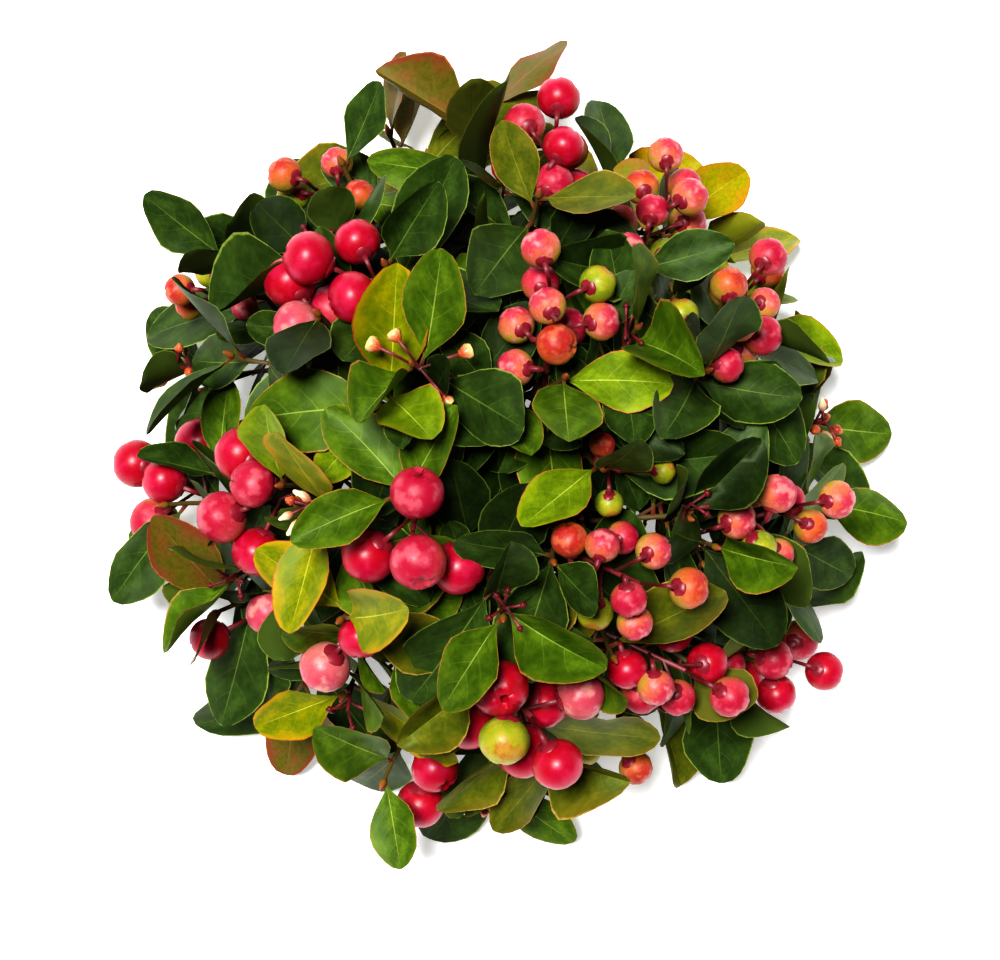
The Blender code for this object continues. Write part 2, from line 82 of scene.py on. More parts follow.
# %% Sizes of the stem and its boughs
SEED = 26
UP = Vector((0, 0, 1))
UPRIGHT = 0.98  # an axis whose rise is more than this share of its length counts as upright
CLEAR = 0.0003  # gap between a solid and the solid that carries it
APART = 0.0005  # least gap that a leaf, twig or fruit keeps to its neighbours
GROUND_GAP = 0.0020  # the lowest leaf stays this far above the ground

# Heights above the ground and the radius at each, from the root flare to the blunt fork.
STEM_PROFILE = (
    (0.0, 0.0074), (0.0025, 0.0058), (0.007, 0.0047), (0.015, 0.0041), (0.023, 0.0038), (0.028, 0.0031),
)
STEM_LEAN = Vector((0.05, -0.03, 0))  # sideways shift for each metre of height
STEM_SIDES = 10

FOCUS = Vector((0, 0, 0.026))  # the point in the stem that boughs and shoots are aimed from
BOUGH_SIDES = 5
BOUGH_STEPS = 3
BOUGH_BASE_RADIUS = 0.00115
BOUGH_TIP_RADIUS = 0.00085
BOUGH_CIRCLE = 0.0023  # radius of the circle on the stem's top that the highest boughs leave from
CURVE_HANDLE = 0.35  # a limb's curve keeps its end directions over this share of its span

# %% Sizes of the shoots and leaves
FORK_LENGTH = 0.012
TWIG_SIDES = 3
TWIG_STEPS = 3
TWIG_BASE_RADIUS = 0.00085
SIDE_TWIG_RADIUS = 0.00066
TWIG_TIP_RADIUS = 0.00055
AIM_JITTER = 3  # degrees that a mass's direction strays from its even place in its ring
TWIG_ROLL_JITTER = 12
SHOOT_SPREAD = 13  # degrees from the mass's own direction to each shoot
SHOOT_JITTER = 3
SHOOT_REACHES = (0.96, 1.04)  # least and greatest share of the mass's reach
LOWEST_TIP = 0.022

LEAVES_PER_SHOOT = 7
LOWEST_LEAF = 0.42  # share of the way up the shoot
HIGHEST_LEAF = 0.98
LEAF_LENGTH = 0.0325
MIDDLE_LEAF_SIZE = 1.10
END_LEAF_SIZE = 0.89
LEAF_LENGTHS = (0.88, 1.14)
LEAF_WIDTH_SHARE = 0.54
LEAF_WIDTHS = (0.88, 1.12)
LEAF_SAGS = (0.04, 0.17)  # share of its length that a leaf's tip arches down
LEAF_DEPTH = 0.0008
LEAF_ROOT_HALF = 0.00030
LEAF_ROOT_DEPTH = 0.00030
LEAF_STATIONS = ((0.38, 0.90), (0.76, 0.86))
LEAF_TURN = 137.5  # degrees round the shoot from one leaf to the next
LEAF_TURN_JITTER = 9
LEAF_LOWEST_ANGLE = 92  # degrees between the shoot and its lowest leaf
LEAF_HIGHEST_ANGLE = 44
LEAF_ANGLE_CURVE = 1.6
LEAF_ANGLE_JITTER = 6
LEAF_TO_LIGHT = 0.75  # how far a leaf's face turns up from its shoot's own direction
LEAF_BANK = 26  # degrees that a leaf may roll about its midrib
BLADE_START = 0.16
SIZES_TRIED = (1.0, 0.82)  # what a leaf tries in turn to fit in, before it is left out
LIFTS_TRIED = (0, -15, 15, -30)
TURNS_TRIED = (0, 17, -17, 34, -34)

# %% [markdown]
# Masses, and what each bears
#
# The crown is three uneven rings of leafy masses. Each row below is one mass, anticlockwise from the
# back, as the picture shows it: its crop, how far it stretches, which way its fruit leans, how far it
# stands anticlockwise of its even place and below it in degrees, and the tints of its older and its
# topmost leaves. Tints are dealt out by whole sprays, because new growth comes out yellow-green or bronze
# on one shoot while the next one stays dark.

# %% Rings of masses and their crops
Plan = namedtuple("Plan", "crop stretch lean turn drop old young")
Ring = namedtuple("Ring", "name tilt leave_tilt first_bearing foot reach lift twig_roll stem_heights plans")
RINGS = (
    Ring(
        "crown", 22, 22, 94, 0.042, 0.085, 0.25, 65, (0.028,),
        (
            Plan("truss", 1.00, 175, 12, -6, "dark", "mid"),
            Plan("buds", 0.98, 180, 18, 7, "mid", "fresh"),
            Plan("ripe", 1.02, 200, 12, 0, "dark", "mid"),
            Plan("truss", 1.00, 200, 8, 6, "dark", "dark"),
            Plan("green", 1.00, 110, -2, 0, "dark", "mid"),
        ),
    ),
    Ring(
        "shoulder", 57, 66, 90, 0.041, 0.085, 0.38, 22, (0.0180, 0.0225),
        (
            Plan("red_truss", 1.09, 120, -2, 0, "dark", "olive"),
            Plan("ripe", 0.98, 300, 4, -5, "dark", "dark"),
            Plan("pair", 1.00, 120, -6, 0, "dark", "dark"),
            Plan("ripe", 1.00, 180, -2, 0, "dark", "mid"),
            Plan("pair", 1.00, 270, -1, 0, "mid", "fresh"),
            Plan("heap", 1.04, 260, 2, 0, "olive", "olive"),
            Plan("red_truss", 1.02, 270, 2, 0, "dark", "olive"),
            Plan("truss", 1.02, 250, 0, 0, "dark", "dark"),
            Plan("truss", 0.98, 240, 4, -4, "dark", "dark"),
            Plan("truss", 1.06, 190, 7, 0, "dark", "dark"),
        ),
    ),
    Ring(
        "skirt", 91, 82, 101, 0.039, 0.083, 0.42, 40, (0.0085, 0.0130),
        (
            Plan("none", 1.24, 0, 0, 0, "olive", "bronze"),
            Plan("small", 1.15, 0, -5, 0, "dark", "dark"),
            Plan("small", 1.14, 0, -10, 0, "dark", "dark"),
            Plan("ripe", 1.12, 60, -4, 0, "dark", "mid"),
            Plan("pair", 1.12, 0, -10, 0, "dark", "bronze"),
            Plan("pair", 1.18, 300, -6, 0, "dark", "mid"),
            Plan("small", 1.02, 300, -4, 0, "olive", "olive"),
            Plan("red_truss", 1.12, 300, -8, 0, "dark", "dark"),
            Plan("buds", 1.06, 0, -4, 0, "dark", "mid"),
            Plan("small", 1.00, 0, -2, 0, "light", "fresh"),
            Plan("none", 1.00, 0, -9, 0, "fresh", "yellow"),
        ),
    ),
)

Crop = namedtuple("Crop", "count radius spine stalk")
CROPS = {
    "none": Crop(0, 0.0, 0.0, 0.0),
    "buds": Crop(0, 0.0, 0.0, 0.0),
    "green": Crop(3, 0.0040, 0.010, 0.007),
    "small": Crop(4, 0.0047, 0.017, 0.007),
    "truss": Crop(9, 0.0052, 0.029, 0.0075),
    "red_truss": Crop(7, 0.0056, 0.025, 0.0075),
    "pair": Crop(2, 0.0066, 0.007, 0.008),
    "ripe": Crop(4, 0.0068, 0.011, 0.009),
    "heap": Crop(7, 0.0072, 0.022, 0.009),
}
BERRY_SEGMENTS = 6
BERRY_RINGS = 3
BERRY_DEPTH_SHARE = 0.94
STALK_RADIUS = 0.00045
SPINE_ROOT = 0.72  # share of the way up the leading shoot where the fruiting stalk leaves it
SPINE_LEAN = 0.85
SPINE_SAG = 0.10
SPINE_STEPS = 2
SPINE_WIDTHS = (1.2, 1.1, 1.0)
LEAN_RANGE = 45  # degrees that a fruiting stalk may turn from its plan's lean to find room
LEAN_STEP = 15
FIRST_BERRY = 0.16  # share of the fruiting stalk below its first berry
BERRY_SHIFTS = (0.93, 1.0)
BERRY_TURN = 120
BERRY_TURN_JITTER = 40
SIDE_BERRY_LEANS = (50, 82)  # degrees between the fruiting stalk and a berry's own stalk
END_BERRY_LEANS = (0, 40)
BERRY_OUTWARD = 0.35
BERRY_DROOP = 0.15
BERRY_NOD = 0.25
BERRY_SIZES = (0.86, 1.06)
BERRY_STALKS = (0.75, 1.15)
BERRY_STALK_WIDTH = 0.9
BERRY_TRIES = 30
SIGHT_LENGTH = 0.016  # leaves stay out of a thin wedge in front of each berry, so that the fruit shows
SIGHT_SHARE = 0.6
SIGHT_LIFT = 0.6

# %% Curves and solid shapes that the rule tests for room
Shape = namedtuple("Shape", "points faces")
Obstacle = namedtuple("Obstacle", "tree middle reach owner kind")
Tube = namedtuple("Tube", "points radii sides controls", defaults=(None,))
Leaf = namedtuple("Leaf", "root along face length width sag seat rank")
Berry = namedtuple("Berry", "middle radius axis start")


def direction(tilt, bearing):
    """The unit vector at a tilt from the vertical and a bearing round it, in degrees."""
    t, b = math.radians(tilt), math.radians(bearing)
    return Vector((math.sin(t) * math.cos(b), math.sin(t) * math.sin(b), math.cos(t)))


def across(axis, roll):
    """A unit vector at right angles to the axis. Roll 0 is its upward side, or +Y for an upright axis."""
    start = UP if abs(axis.z) < UPRIGHT else Vector((0, 1, 0))
    first = (start - axis * start.dot(axis)).normalized()
    second = axis.cross(first)
    r = math.radians(roll)
    return first * math.cos(r) + second * math.sin(r)


def curve_point(controls, t):
    """A point on a cubic Bezier curve."""
    a, b, c, d = controls
    s = 1 - t
    return a * s**3 + b * (3 * s * s * t) + c * (3 * s * t * t) + d * t**3


def curve_points(controls, steps):
    return [curve_point(controls, i / steps) for i in range(steps + 1)]


def along_points(points, share):
    """The point and the tangent at a share of the way along a list of points."""
    place = min(share, 0.9999) * (len(points) - 1)
    i = int(place)
    step = points[i + 1] - points[i]
    return points[i] + step * (place - i), step.normalized()


def tube_shape(tube, fat=0.0, level=False):
    """A closed tube with flat ends through the tube's points. Level keeps each of its rings horizontal."""
    points, faces = [], []
    last = len(tube.points) - 1
    sides = tube.sides
    turn = across(UP if level else (tube.points[1] - tube.points[0]).normalized(), 0)
    for i, (middle, radius) in enumerate(zip(tube.points, tube.radii)):
        tangent = UP if level else (tube.points[min(i + 1, last)] - tube.points[max(i - 1, 0)]).normalized()
        turn = (turn - tangent * turn.dot(tangent)).normalized()
        other = tangent.cross(turn)
        for k in range(sides):
            a = 2 * math.pi * k / sides
            points.append(middle + (turn * math.cos(a) + other * math.sin(a)) * (radius + fat))
    for i in range(last):
        for k in range(sides):
            here, there = i * sides + k, i * sides + (k + 1) % sides
            faces.append((here, there, there + sides, here + sides))
    faces.append(tuple(reversed(range(sides))))
    faces.append(tuple(range(last * sides, last * sides + sides)))
    return Shape(points, faces)


def leaf_shape(leaf, fat=0.0, blade_only=False):
    """The solid model's leaf: a closed blade with a keel under its midrib."""
    side = leaf.along.cross(leaf.face)
    stations = [(share, leaf.width / 2 * half, LEAF_DEPTH) for share, half in LEAF_STATIONS]
    first = (0.0, LEAF_ROOT_HALF, LEAF_ROOT_DEPTH)
    if blade_only:
        first = (BLADE_START, leaf.width / 5, LEAF_DEPTH)
    points, faces = [], []
    for share, half, depth in [first] + stations:
        middle = leaf_middle(leaf, share)
        points.append(middle + side * (half + fat) + leaf.face * fat)
        points.append(middle - side * (half + fat) + leaf.face * fat)
        points.append(middle - leaf.face * (depth + fat))
    tip = len(points)
    points.append(leaf_middle(leaf, 1.0) + leaf.along * fat)
    faces.append((0, 1, 2))
    for i in range(len(stations)):
        a, b = 3 * i, 3 * i + 3
        faces += [(a, b, b + 1, a + 1), (a + 1, b + 1, b + 2, a + 2), (a + 2, b + 2, b, a)]
    end = tip - 3
    faces += [(end, tip, end + 1), (end + 1, tip, end + 2), (end + 2, tip, end)]
    return Shape(points, faces)


def leaf_middle(leaf, share):
    """The point at a share of the way along a leaf's midrib, which arches over towards its tip."""
    return leaf.root + leaf.along * (leaf.length * share) - leaf.face * (leaf.sag * leaf.length * share**2)


def berry_shape(berry, fat=0.0):
    """The solid model's berry, a faceted ball a little wider than it is deep."""
    side = across(berry.axis, 0)
    other = berry.axis.cross(side)
    radius = berry.radius + fat
    depth = berry.axis * radius * BERRY_DEPTH_SHARE
    n = BERRY_SEGMENTS
    points = [berry.middle - depth]
    for ring in range(1, BERRY_RINGS):
        polar = math.pi * ring / BERRY_RINGS
        for k in range(n):
            a = 2 * math.pi * k / n
            out = (side * math.cos(a) + other * math.sin(a)) * radius * math.sin(polar)
            points.append(berry.middle - depth * math.cos(polar) + out)
    points.append(berry.middle + depth)
    top, last = 1 + (BERRY_RINGS - 2) * n, len(points) - 1
    faces = []
    for k in range(n):
        beside = (k + 1) % n
        faces.append((0, 1 + beside, 1 + k))
        for i in range(1, top, n):
            faces.append((i + k, i + beside, i + beside + n, i + k + n))
        faces.append((top + k, top + beside, last))
    return Shape(points, faces)


def sight_shape(berry, outward):
    """The thin wedge in front of a berry that leaves stay out of."""
    half = berry.radius * SIGHT_SHARE
    front = berry.middle + outward * (berry.radius + SIGHT_LENGTH)
    return tube_shape(Tube([berry.middle, front], [half, half], 4))


# %% [markdown]
# Room to grow
#
# Real leaves push each other aside. A collision simulation could do that, but a search is quicker and
# always gives the same plant: each new piece is tested against a list of all that stands, and turns a
# little until it is clear.

# %% The garden keeps everything that has been placed
def extent(shape):
    """The middle of a shape's points, and how far they reach from it."""
    middle = sum(shape.points, Vector()) / len(shape.points)
    return middle, max((p - middle).length for p in shape.points)


def search_tree(shape):
    return BVHTree.FromPolygons([p[:] for p in shape.points], shape.faces)


class Garden:
    """Everything that has been placed so far, for keeping later pieces clear of it."""

    def __init__(self):
        self.placed = []

    def add(self, shape, owner, kind):
        self.placed.append(Obstacle(search_tree(shape), *extent(shape), owner, kind))

    def is_clear(self, shape, ignore):
        """True if the shape meets nothing placed so far, apart from what the function ignores."""
        middle, reach = extent(shape)
        tree = None
        for other in self.placed:
            if (other.middle - middle).length > other.reach + reach or ignore(other):
                continue
            tree = tree or search_tree(shape)
            if tree.overlap(other.tree):
                return False
        return True


class Mass:
    """One mass of foliage: its name, bough, shoots, leaves and fruit."""

    def __init__(self, number, ring, place):
        self.number = number
        self.ring = ring
        self.plan = ring.plans[place]
        self.crop = CROPS[self.plan.crop]
        self.label = f"{ring.name}_{place + 1}"
        self.node = f"foliage_{self.label}"
        self.rng = random.Random(SEED * 1000 + number)
        self.bearing = ring.first_bearing + 360 / len(ring.plans) * place + self.plan.turn
        tilt = ring.tilt + self.plan.drop
        self.axis = direction(tilt + self.stray(AIM_JITTER), self.bearing + self.stray(AIM_JITTER))
        self.height = ring.stem_heights[place % len(ring.stem_heights)]
        self.reach = ring.reach * self.plan.stretch
        self.bough = None
        self.shoots = []
        self.twigs = []
        self.stalks = []
        self.berries = []
        self.leaves = []
        self.sprigs = []

    def stray(self, most):
        return self.rng.uniform(-most, most)


# %% Stem, boughs and shoots
def stem_middle(height):
    return STEM_LEAN * height + UP * height


def stem_radius(height):
    """The main stem's radius at a height, read from its profile."""
    for (low, wide), (high, narrow) in zip(STEM_PROFILE, STEM_PROFILE[1:]):
        if height <= high:
            return wide + (narrow - wide) * (height - low) / (high - low)
    return STEM_PROFILE[-1][1]


def main_stem():
    heights = [h for h, _ in STEM_PROFILE]
    return Tube([stem_middle(h) for h in heights], [r for _, r in STEM_PROFILE], STEM_SIDES)


def limb_tube(start, start_way, end, end_way, steps, base_radius, tip_radius, sides):
    """A tapering limb that leaves its start one way and arrives at its end another."""
    handle = (end - start).length * CURVE_HANDLE
    controls = (start, start + start_way * handle, end - end_way * handle, end)
    radii = [base_radius + (tip_radius - base_radius) * i / steps for i in range(steps + 1)]
    return Tube(curve_points(controls, steps), radii, sides, controls)


def bough_tube(mass):
    """One tapering limb from the main stem to the foot of its mass."""
    ring = mass.ring
    foot = FOCUS + mass.axis * ring.foot
    outward = direction(90, mass.bearing)
    way = direction(ring.leave_tilt, mass.bearing)
    if mass.height == STEM_PROFILE[-1][0]:
        seat = outward * BOUGH_CIRCLE + UP * (CLEAR + BOUGH_BASE_RADIUS * outward.dot(way))
    else:
        seat = outward * (stem_radius(mass.height) + CLEAR + BOUGH_BASE_RADIUS * way.z)
    start = stem_middle(mass.height) + seat
    return limb_tube(
        start, way, foot, mass.axis, BOUGH_STEPS, BOUGH_BASE_RADIUS, BOUGH_TIP_RADIUS, BOUGH_SIDES
    )


def grow_shoots(mass):
    """The mass's stem, which runs on into its leading shoot, and a second shoot from the fork."""
    ring, rng = mass.ring, mass.rng
    foot = FOCUS + mass.axis * (ring.foot + CLEAR)
    roll = ring.twig_roll + mass.stray(TWIG_ROLL_JITTER)
    for lead in (True, False):
        side = across(mass.axis, roll + (0 if lead else 180))
        spread = math.radians(SHOOT_SPREAD + mass.stray(SHOOT_JITTER))
        toward = (mass.axis * math.cos(spread) + side * math.sin(spread)).normalized()
        tip = FOCUS + toward * mass.reach * rng.uniform(*SHOOT_REACHES)
        tip.z = max(tip.z, LOWEST_TIP)
        tip_way = (toward * (1 - ring.lift) + UP * ring.lift).normalized()
        start, radius = foot, TWIG_BASE_RADIUS
        if not lead:
            stem = mass.twigs[0].points
            start, _ = along_points(stem, FORK_LENGTH / (stem[-1] - stem[0]).length)
            radius = SIDE_TWIG_RADIUS
        twig = limb_tube(start, mass.axis, tip, tip_way, TWIG_STEPS, radius, TWIG_TIP_RADIUS, TWIG_SIDES)
        mass.twigs.append(twig)
        mass.shoots.append((twig, rng.uniform(0, 360)))


# %% Fruit on its stalks
def widest_gap(mass, root, out, length, masses):
    """The way near its plan's lean that takes a fruiting stalk furthest from shoots and other fruit."""
    others = [shoot.points[-1] for other in masses for shoot, _ in other.shoots]
    others += [berry.middle for other in masses for berry in other.berries]
    best, best_room = None, -1.0
    for turn in range(-LEAN_RANGE, LEAN_RANGE + 1, LEAN_STEP):
        way = (across(out, mass.plan.lean + turn) * SPINE_LEAN + out).normalized()
        end = root + way * length
        room = min((end - other).length for other in others)
        if room > best_room:
            best, best_room = way, room
    return best


def spine_tube(mass, masses):
    """The shared stalk of a mass's berries, which leaves the leading shoot under its top leaves."""
    length = mass.crop.spine
    root, _ = along_points(mass.shoots[0][0].points, SPINE_ROOT)
    out = (root - FOCUS).normalized()
    way = widest_gap(mass, root, out, length + mass.crop.stalk, masses)
    end = root + (way - UP * SPINE_SAG) * length
    handle = way * length * CURVE_HANDLE
    controls = (root, root + handle, end - handle, end)
    radii = [STALK_RADIUS * wide for wide in SPINE_WIDTHS]
    return Tube(curve_points(controls, SPINE_STEPS), radii, TWIG_SIDES, controls)


def berry_trial(mass, spine, number, ease):
    """A berry and its own stalk, at one drawn place. Ease lets it stand further off, and further round."""
    crop, rng = mass.crop, mass.rng
    last = number == crop.count - 1
    share = 1.0 if last else FIRST_BERRY + (1 - FIRST_BERRY) * number / (crop.count - 1)
    start, tangent = along_points(spine.points, share * rng.uniform(*BERRY_SHIFTS))
    roll = BERRY_TURN * number + mass.stray(BERRY_TURN_JITTER) * ease**2
    lean = math.radians(rng.uniform(*(END_BERRY_LEANS if last else SIDE_BERRY_LEANS)))
    way = tangent * math.cos(lean) + across(tangent, roll) * math.sin(lean)
    out = (spine.points[0] - FOCUS).normalized()
    way = (way + out * BERRY_OUTWARD - UP * BERRY_DROOP).normalized()
    radius = crop.radius * rng.uniform(*BERRY_SIZES)
    middle = start + way * (crop.stalk * rng.uniform(*BERRY_STALKS) * ease + radius)
    stalk = Tube([start, middle], [STALK_RADIUS * BERRY_STALK_WIDTH] * 2, TWIG_SIDES)
    return Berry(middle, radius, (way - UP * BERRY_NOD).normalized(), start), stalk


def berry_fits(mass, berry, stalk, garden):
    if berry.middle.z - berry.radius < GROUND_GAP:
        return False
    if not garden.is_clear(berry_shape(berry, APART), lambda o: o.kind == "sight"):
        return False
    return garden.is_clear(tube_shape(stalk, APART), lambda o: o.kind == "sight" or o.owner == mass.number)


def grow_fruit(mass, garden, masses):
    """The mass's berries, each on its own stalk along the shared one."""
    if not mass.crop.count:
        return
    spine = spine_tube(mass, masses)
    mass.stalks.append(spine)
    garden.add(tube_shape(spine), mass.number, "stalk")
    for number in range(mass.crop.count):
        for attempt in range(BERRY_TRIES):
            berry, stalk = berry_trial(mass, spine, number, 1 + attempt / BERRY_TRIES)
            if not berry_fits(mass, berry, stalk, garden):
                continue
            mass.berries.append(berry)
            mass.stalks.append(stalk)
            garden.add(berry_shape(berry), mass.number, "berry")
            garden.add(tube_shape(stalk), mass.number, "stalk")
            sight = ((berry.middle - FOCUS).normalized() + UP * SIGHT_LIFT).normalized()
            garden.add(sight_shape(berry, sight), mass.number, "sight")
            break


# %% Leaves in a spiral up each shoot
def leaf_trial(shoot, share, roll, angle, size, rank):
    """The leaf that a shoot would bear at this roll and angle, turned to face the light."""
    length, width_share, sag, bank = size
    root, tangent = along_points(shoot.points, share)
    angle = math.radians(angle)
    along = (tangent * math.cos(angle) + across(tangent, roll) * math.sin(angle)).normalized()
    face = tangent - along * tangent.dot(along)
    face = face.normalized() + (UP - along * UP.dot(along)) * LEAF_TO_LIGHT
    face = (face - along * face.dot(along)).normalized()
    face = face * math.cos(bank) + along.cross(face) * math.sin(bank)
    seat = curve_point(shoot.controls, share)
    return Leaf(root, along, face, length, length * width_share, sag, seat, rank)


def leaf_fits(mass, leaf, garden):
    """Clear of other masses in full, and of its own with its blade, whose root sits on the shoot."""
    if min(p.z for p in leaf_shape(leaf).points) < GROUND_GAP:
        return False
    if not garden.is_clear(leaf_shape(leaf, APART), lambda o: o.owner == mass.number):
        return False
    return garden.is_clear(leaf_shape(leaf, APART, True), lambda o: o.owner != mass.number)


def try_leaf(mass, shoot, share, roll, angle, full_size, rank, garden):
    """One leaf of a mass. It turns aside from what is in its way, and is left out if it can't."""
    length, width_share, sag, bank = full_size
    for shrink in SIZES_TRIED:
        for lift in LIFTS_TRIED:
            for turn in TURNS_TRIED:
                size = (length * shrink, width_share, sag, bank)
                leaf = leaf_trial(shoot, share, roll + turn, angle + lift, size, rank)
                if leaf_fits(mass, leaf, garden):
                    mass.leaves.append(leaf)
                    garden.add(leaf_shape(leaf), mass.number, "leaf")
                    return


def leaf_size(length, rng):
    """A leaf's length, its width and its arch as shares of that, and how far it rolls about its midrib."""
    width_share = LEAF_WIDTH_SHARE * rng.uniform(*LEAF_WIDTHS)
    return length, width_share, rng.uniform(*LEAF_SAGS), math.radians(rng.uniform(-LEAF_BANK, LEAF_BANK))


def grow_leaf(mass, shoot_number, rank, garden):
    """The leaf of one rank on one shoot, counted down from the shoot's tip."""
    shoot, first_roll = mass.shoots[shoot_number]
    rng = mass.rng
    x = 1 - rank / (LEAVES_PER_SHOOT - 1)
    angle = LEAF_LOWEST_ANGLE + (LEAF_HIGHEST_ANGLE - LEAF_LOWEST_ANGLE) * x**LEAF_ANGLE_CURVE
    angle += mass.stray(LEAF_ANGLE_JITTER)
    roll = first_roll + LEAF_TURN * rank + mass.stray(LEAF_TURN_JITTER)
    place_size = MIDDLE_LEAF_SIZE - (MIDDLE_LEAF_SIZE - END_LEAF_SIZE) * (2 * x - 1) ** 2
    length = LEAF_LENGTH * place_size * rng.uniform(*LEAF_LENGTHS)
    size = leaf_size(length, rng)
    try_leaf(mass, shoot, LOWEST_LEAF + (HIGHEST_LEAF - LOWEST_LEAF) * x, roll, angle, size, rank, garden)


def grow_plant(garden):
    """All masses with their boughs, shoots, fruit and leaves, each placed clear of what came before it."""
    garden.add(tube_shape(main_stem(), level=True), "stem", "limb")
    masses = []
    for ring in RINGS:
        for place in range(len(ring.plans)):
            masses.append(Mass(len(masses), ring, place))
    for mass in masses:
        mass.bough = bough_tube(mass)
        garden.add(tube_shape(mass.bough), "stem", "limb")
    for mass in masses:
        grow_shoots(mass)
        for twig in mass.twigs:
            garden.add(tube_shape(twig), mass.number, "twig")
    for mass in masses:
        grow_fruit(mass, garden, masses)
    for rank in range(LEAVES_PER_SHOOT):
        for shoot_number in (0, 1):
            for mass in masses:
                grow_leaf(mass, shoot_number, rank, garden)
    return masses


garden = Garden()
masses = grow_plant(garden)
print("leaves", sum(len(m.leaves) for m in masses), "berries", sum(len(m.berries) for m in masses))

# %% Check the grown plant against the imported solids
def farthest_from_node(mass):
    """The largest distance, in metres, between a corner of the mass's box as grown here and as packed."""
    shapes = [tube_shape(tube) for tube in mass.twigs + mass.stalks]
    shapes += [berry_shape(berry) for berry in mass.berries]
    shapes += [leaf_shape(leaf) for leaf in mass.leaves]
    points = np.array([p for shape in shapes for p in shape.points])
    lowest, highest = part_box(mass.node)
    return max(np.abs(points.min(0) - lowest).max(), np.abs(points.max(0) - highest).max())


print("largest difference to the packed masses, mm:", round(1000 * max(map(farthest_from_node, masses)), 3))

# %% [markdown]
# Finer growth
#
# The solid model stops at two shoots for each mass. The real shrub has short side sprigs with small
# leaves, and older leaves down along the shoots. The same rule carries on here: each sprig leaves a shoot
# as a shoot leaves its stem, inside the mass's reach, and each leaf looks for room in the same garden,
# with a random source of its own, so that nothing placed before it moves.

# %% Side sprigs and older leaves
SPRIG_SHARES = (0.22, 0.40, 0.58)  # how far up its shoot each sprig leaves it
SPRIG_LENGTHS = (0.013, 0.021)
SPRIG_ANGLES = (38, 62)
SPRIG_RADIUS = 0.00045
SPRIG_TIP_RADIUS = 0.00032
SPRIG_LIFT = 0.30
SPRIG_TRIES = 6
SPRIG_TURN = 60  # degrees round its shoot from one try to the next
SPRIG_ROLL = 70  # degrees round its shoot from a leaf's place to the first try
SPRIG_RANK = 2  # a sprig's topmost leaf counts as a shoot's third one
SPRIG_LEAVES = ((0.98, 50), (0.86, 66), (0.66, 80), (0.42, 90))  # share of the way up, and angle
SPRIG_LEAF_SIZES = (0.56, 0.86)
OLD_LEAF_SHARES = (0.34, 0.25, 0.16)
OLD_LEAF_SIZES = (0.72, 0.98)
OLD_RANK = LEAVES_PER_SHOOT


def grow_sprig(mass, shoot, share, roll, rng, garden):
    """A short side twig that keeps within its mass's reach, or None if there is no room for it."""
    _, tangent = along_points(shoot.points, share)
    start = curve_point(shoot.controls, share)
    for attempt in range(SPRIG_TRIES):
        angle = math.radians(rng.uniform(*SPRIG_ANGLES))
        way = tangent * math.cos(angle) + across(tangent, roll + SPRIG_TURN * attempt) * math.sin(angle)
        tip = start + (way + UP * SPRIG_LIFT).normalized() * rng.uniform(*SPRIG_LENGTHS)
        if (tip - FOCUS).length > mass.reach or tip.z < LOWEST_TIP / 2:
            continue
        end_way = (way * (1 - SPRIG_LIFT) + UP * SPRIG_LIFT).normalized()
        sprig = limb_tube(start, way, tip, end_way, TWIG_STEPS, SPRIG_RADIUS, SPRIG_TIP_RADIUS, TWIG_SIDES)
        if garden.is_clear(tube_shape(sprig, APART), lambda o: o.owner == mass.number and o.kind == "twig"):
            garden.add(tube_shape(sprig), mass.number, "twig")
            return sprig
    return None


def grow_finer(mass, garden):
    rng = random.Random(SEED * 2000 + mass.number)
    for shoot, first_roll in mass.shoots:
        for number, share in enumerate(SPRIG_SHARES):
            roll = first_roll + LEAF_TURN * number + SPRIG_ROLL
            sprig = grow_sprig(mass, shoot, share, roll, rng, garden)
            if sprig:
                mass.sprigs.append((sprig, rng.uniform(0, 360)))
    for rank, (share, angle) in enumerate(SPRIG_LEAVES):
        for sprig, first_roll in mass.sprigs:
            length = LEAF_LENGTH * rng.uniform(*SPRIG_LEAF_SIZES)
            size = leaf_size(length, rng)
            roll = first_roll + LEAF_TURN * rank
            try_leaf(mass, sprig, share, roll, angle, size, rank + SPRIG_RANK, garden)
    for number, share in enumerate(OLD_LEAF_SHARES):
        for shoot, first_roll in mass.shoots:
            length = LEAF_LENGTH * rng.uniform(*OLD_LEAF_SIZES)
            size = leaf_size(length, rng)
            roll = first_roll + LEAF_TURN * (OLD_RANK + number)
            try_leaf(mass, shoot, share, roll, LEAF_LOWEST_ANGLE, size, OLD_RANK + number, garden)


for mass in masses:
    grow_finer(mass, garden)
print("sprigs", sum(len(m.sprigs) for m in masses), "leaves now", sum(len(m.leaves) for m in masses))

# %% [markdown]
# Modelling one of each
#
# Every leaf, berry and bud is a copy of one model. A primitive is shaped in edit mode in a unit size,
# and its points, faces and UVs are then read as arrays, so that hundreds of copies can be bent and laid
# out as one mesh each. The UV map is called OFBake: a pattern drawn on it falls the same way on every
# copy.

# %% Helpers for modelling
UV_NAME = "OFBake"
Template = namedtuple("Template", "points faces uvs")


def start_clean():
    """Nothing selected, and object mode, before a new primitive is added."""
    if bpy.context.object and bpy.context.object.mode != "OBJECT":
        bpy.ops.object.mode_set(mode="OBJECT")
    bpy.ops.object.select_all(action="DESELECT")


def unit_ball(segments, rings):
    """A ball of radius 1, to be shaped in edit mode."""
    start_clean()
    bpy.ops.mesh.primitive_uv_sphere_add(segments=segments, ring_count=rings, radius=1)
    return bpy.context.object


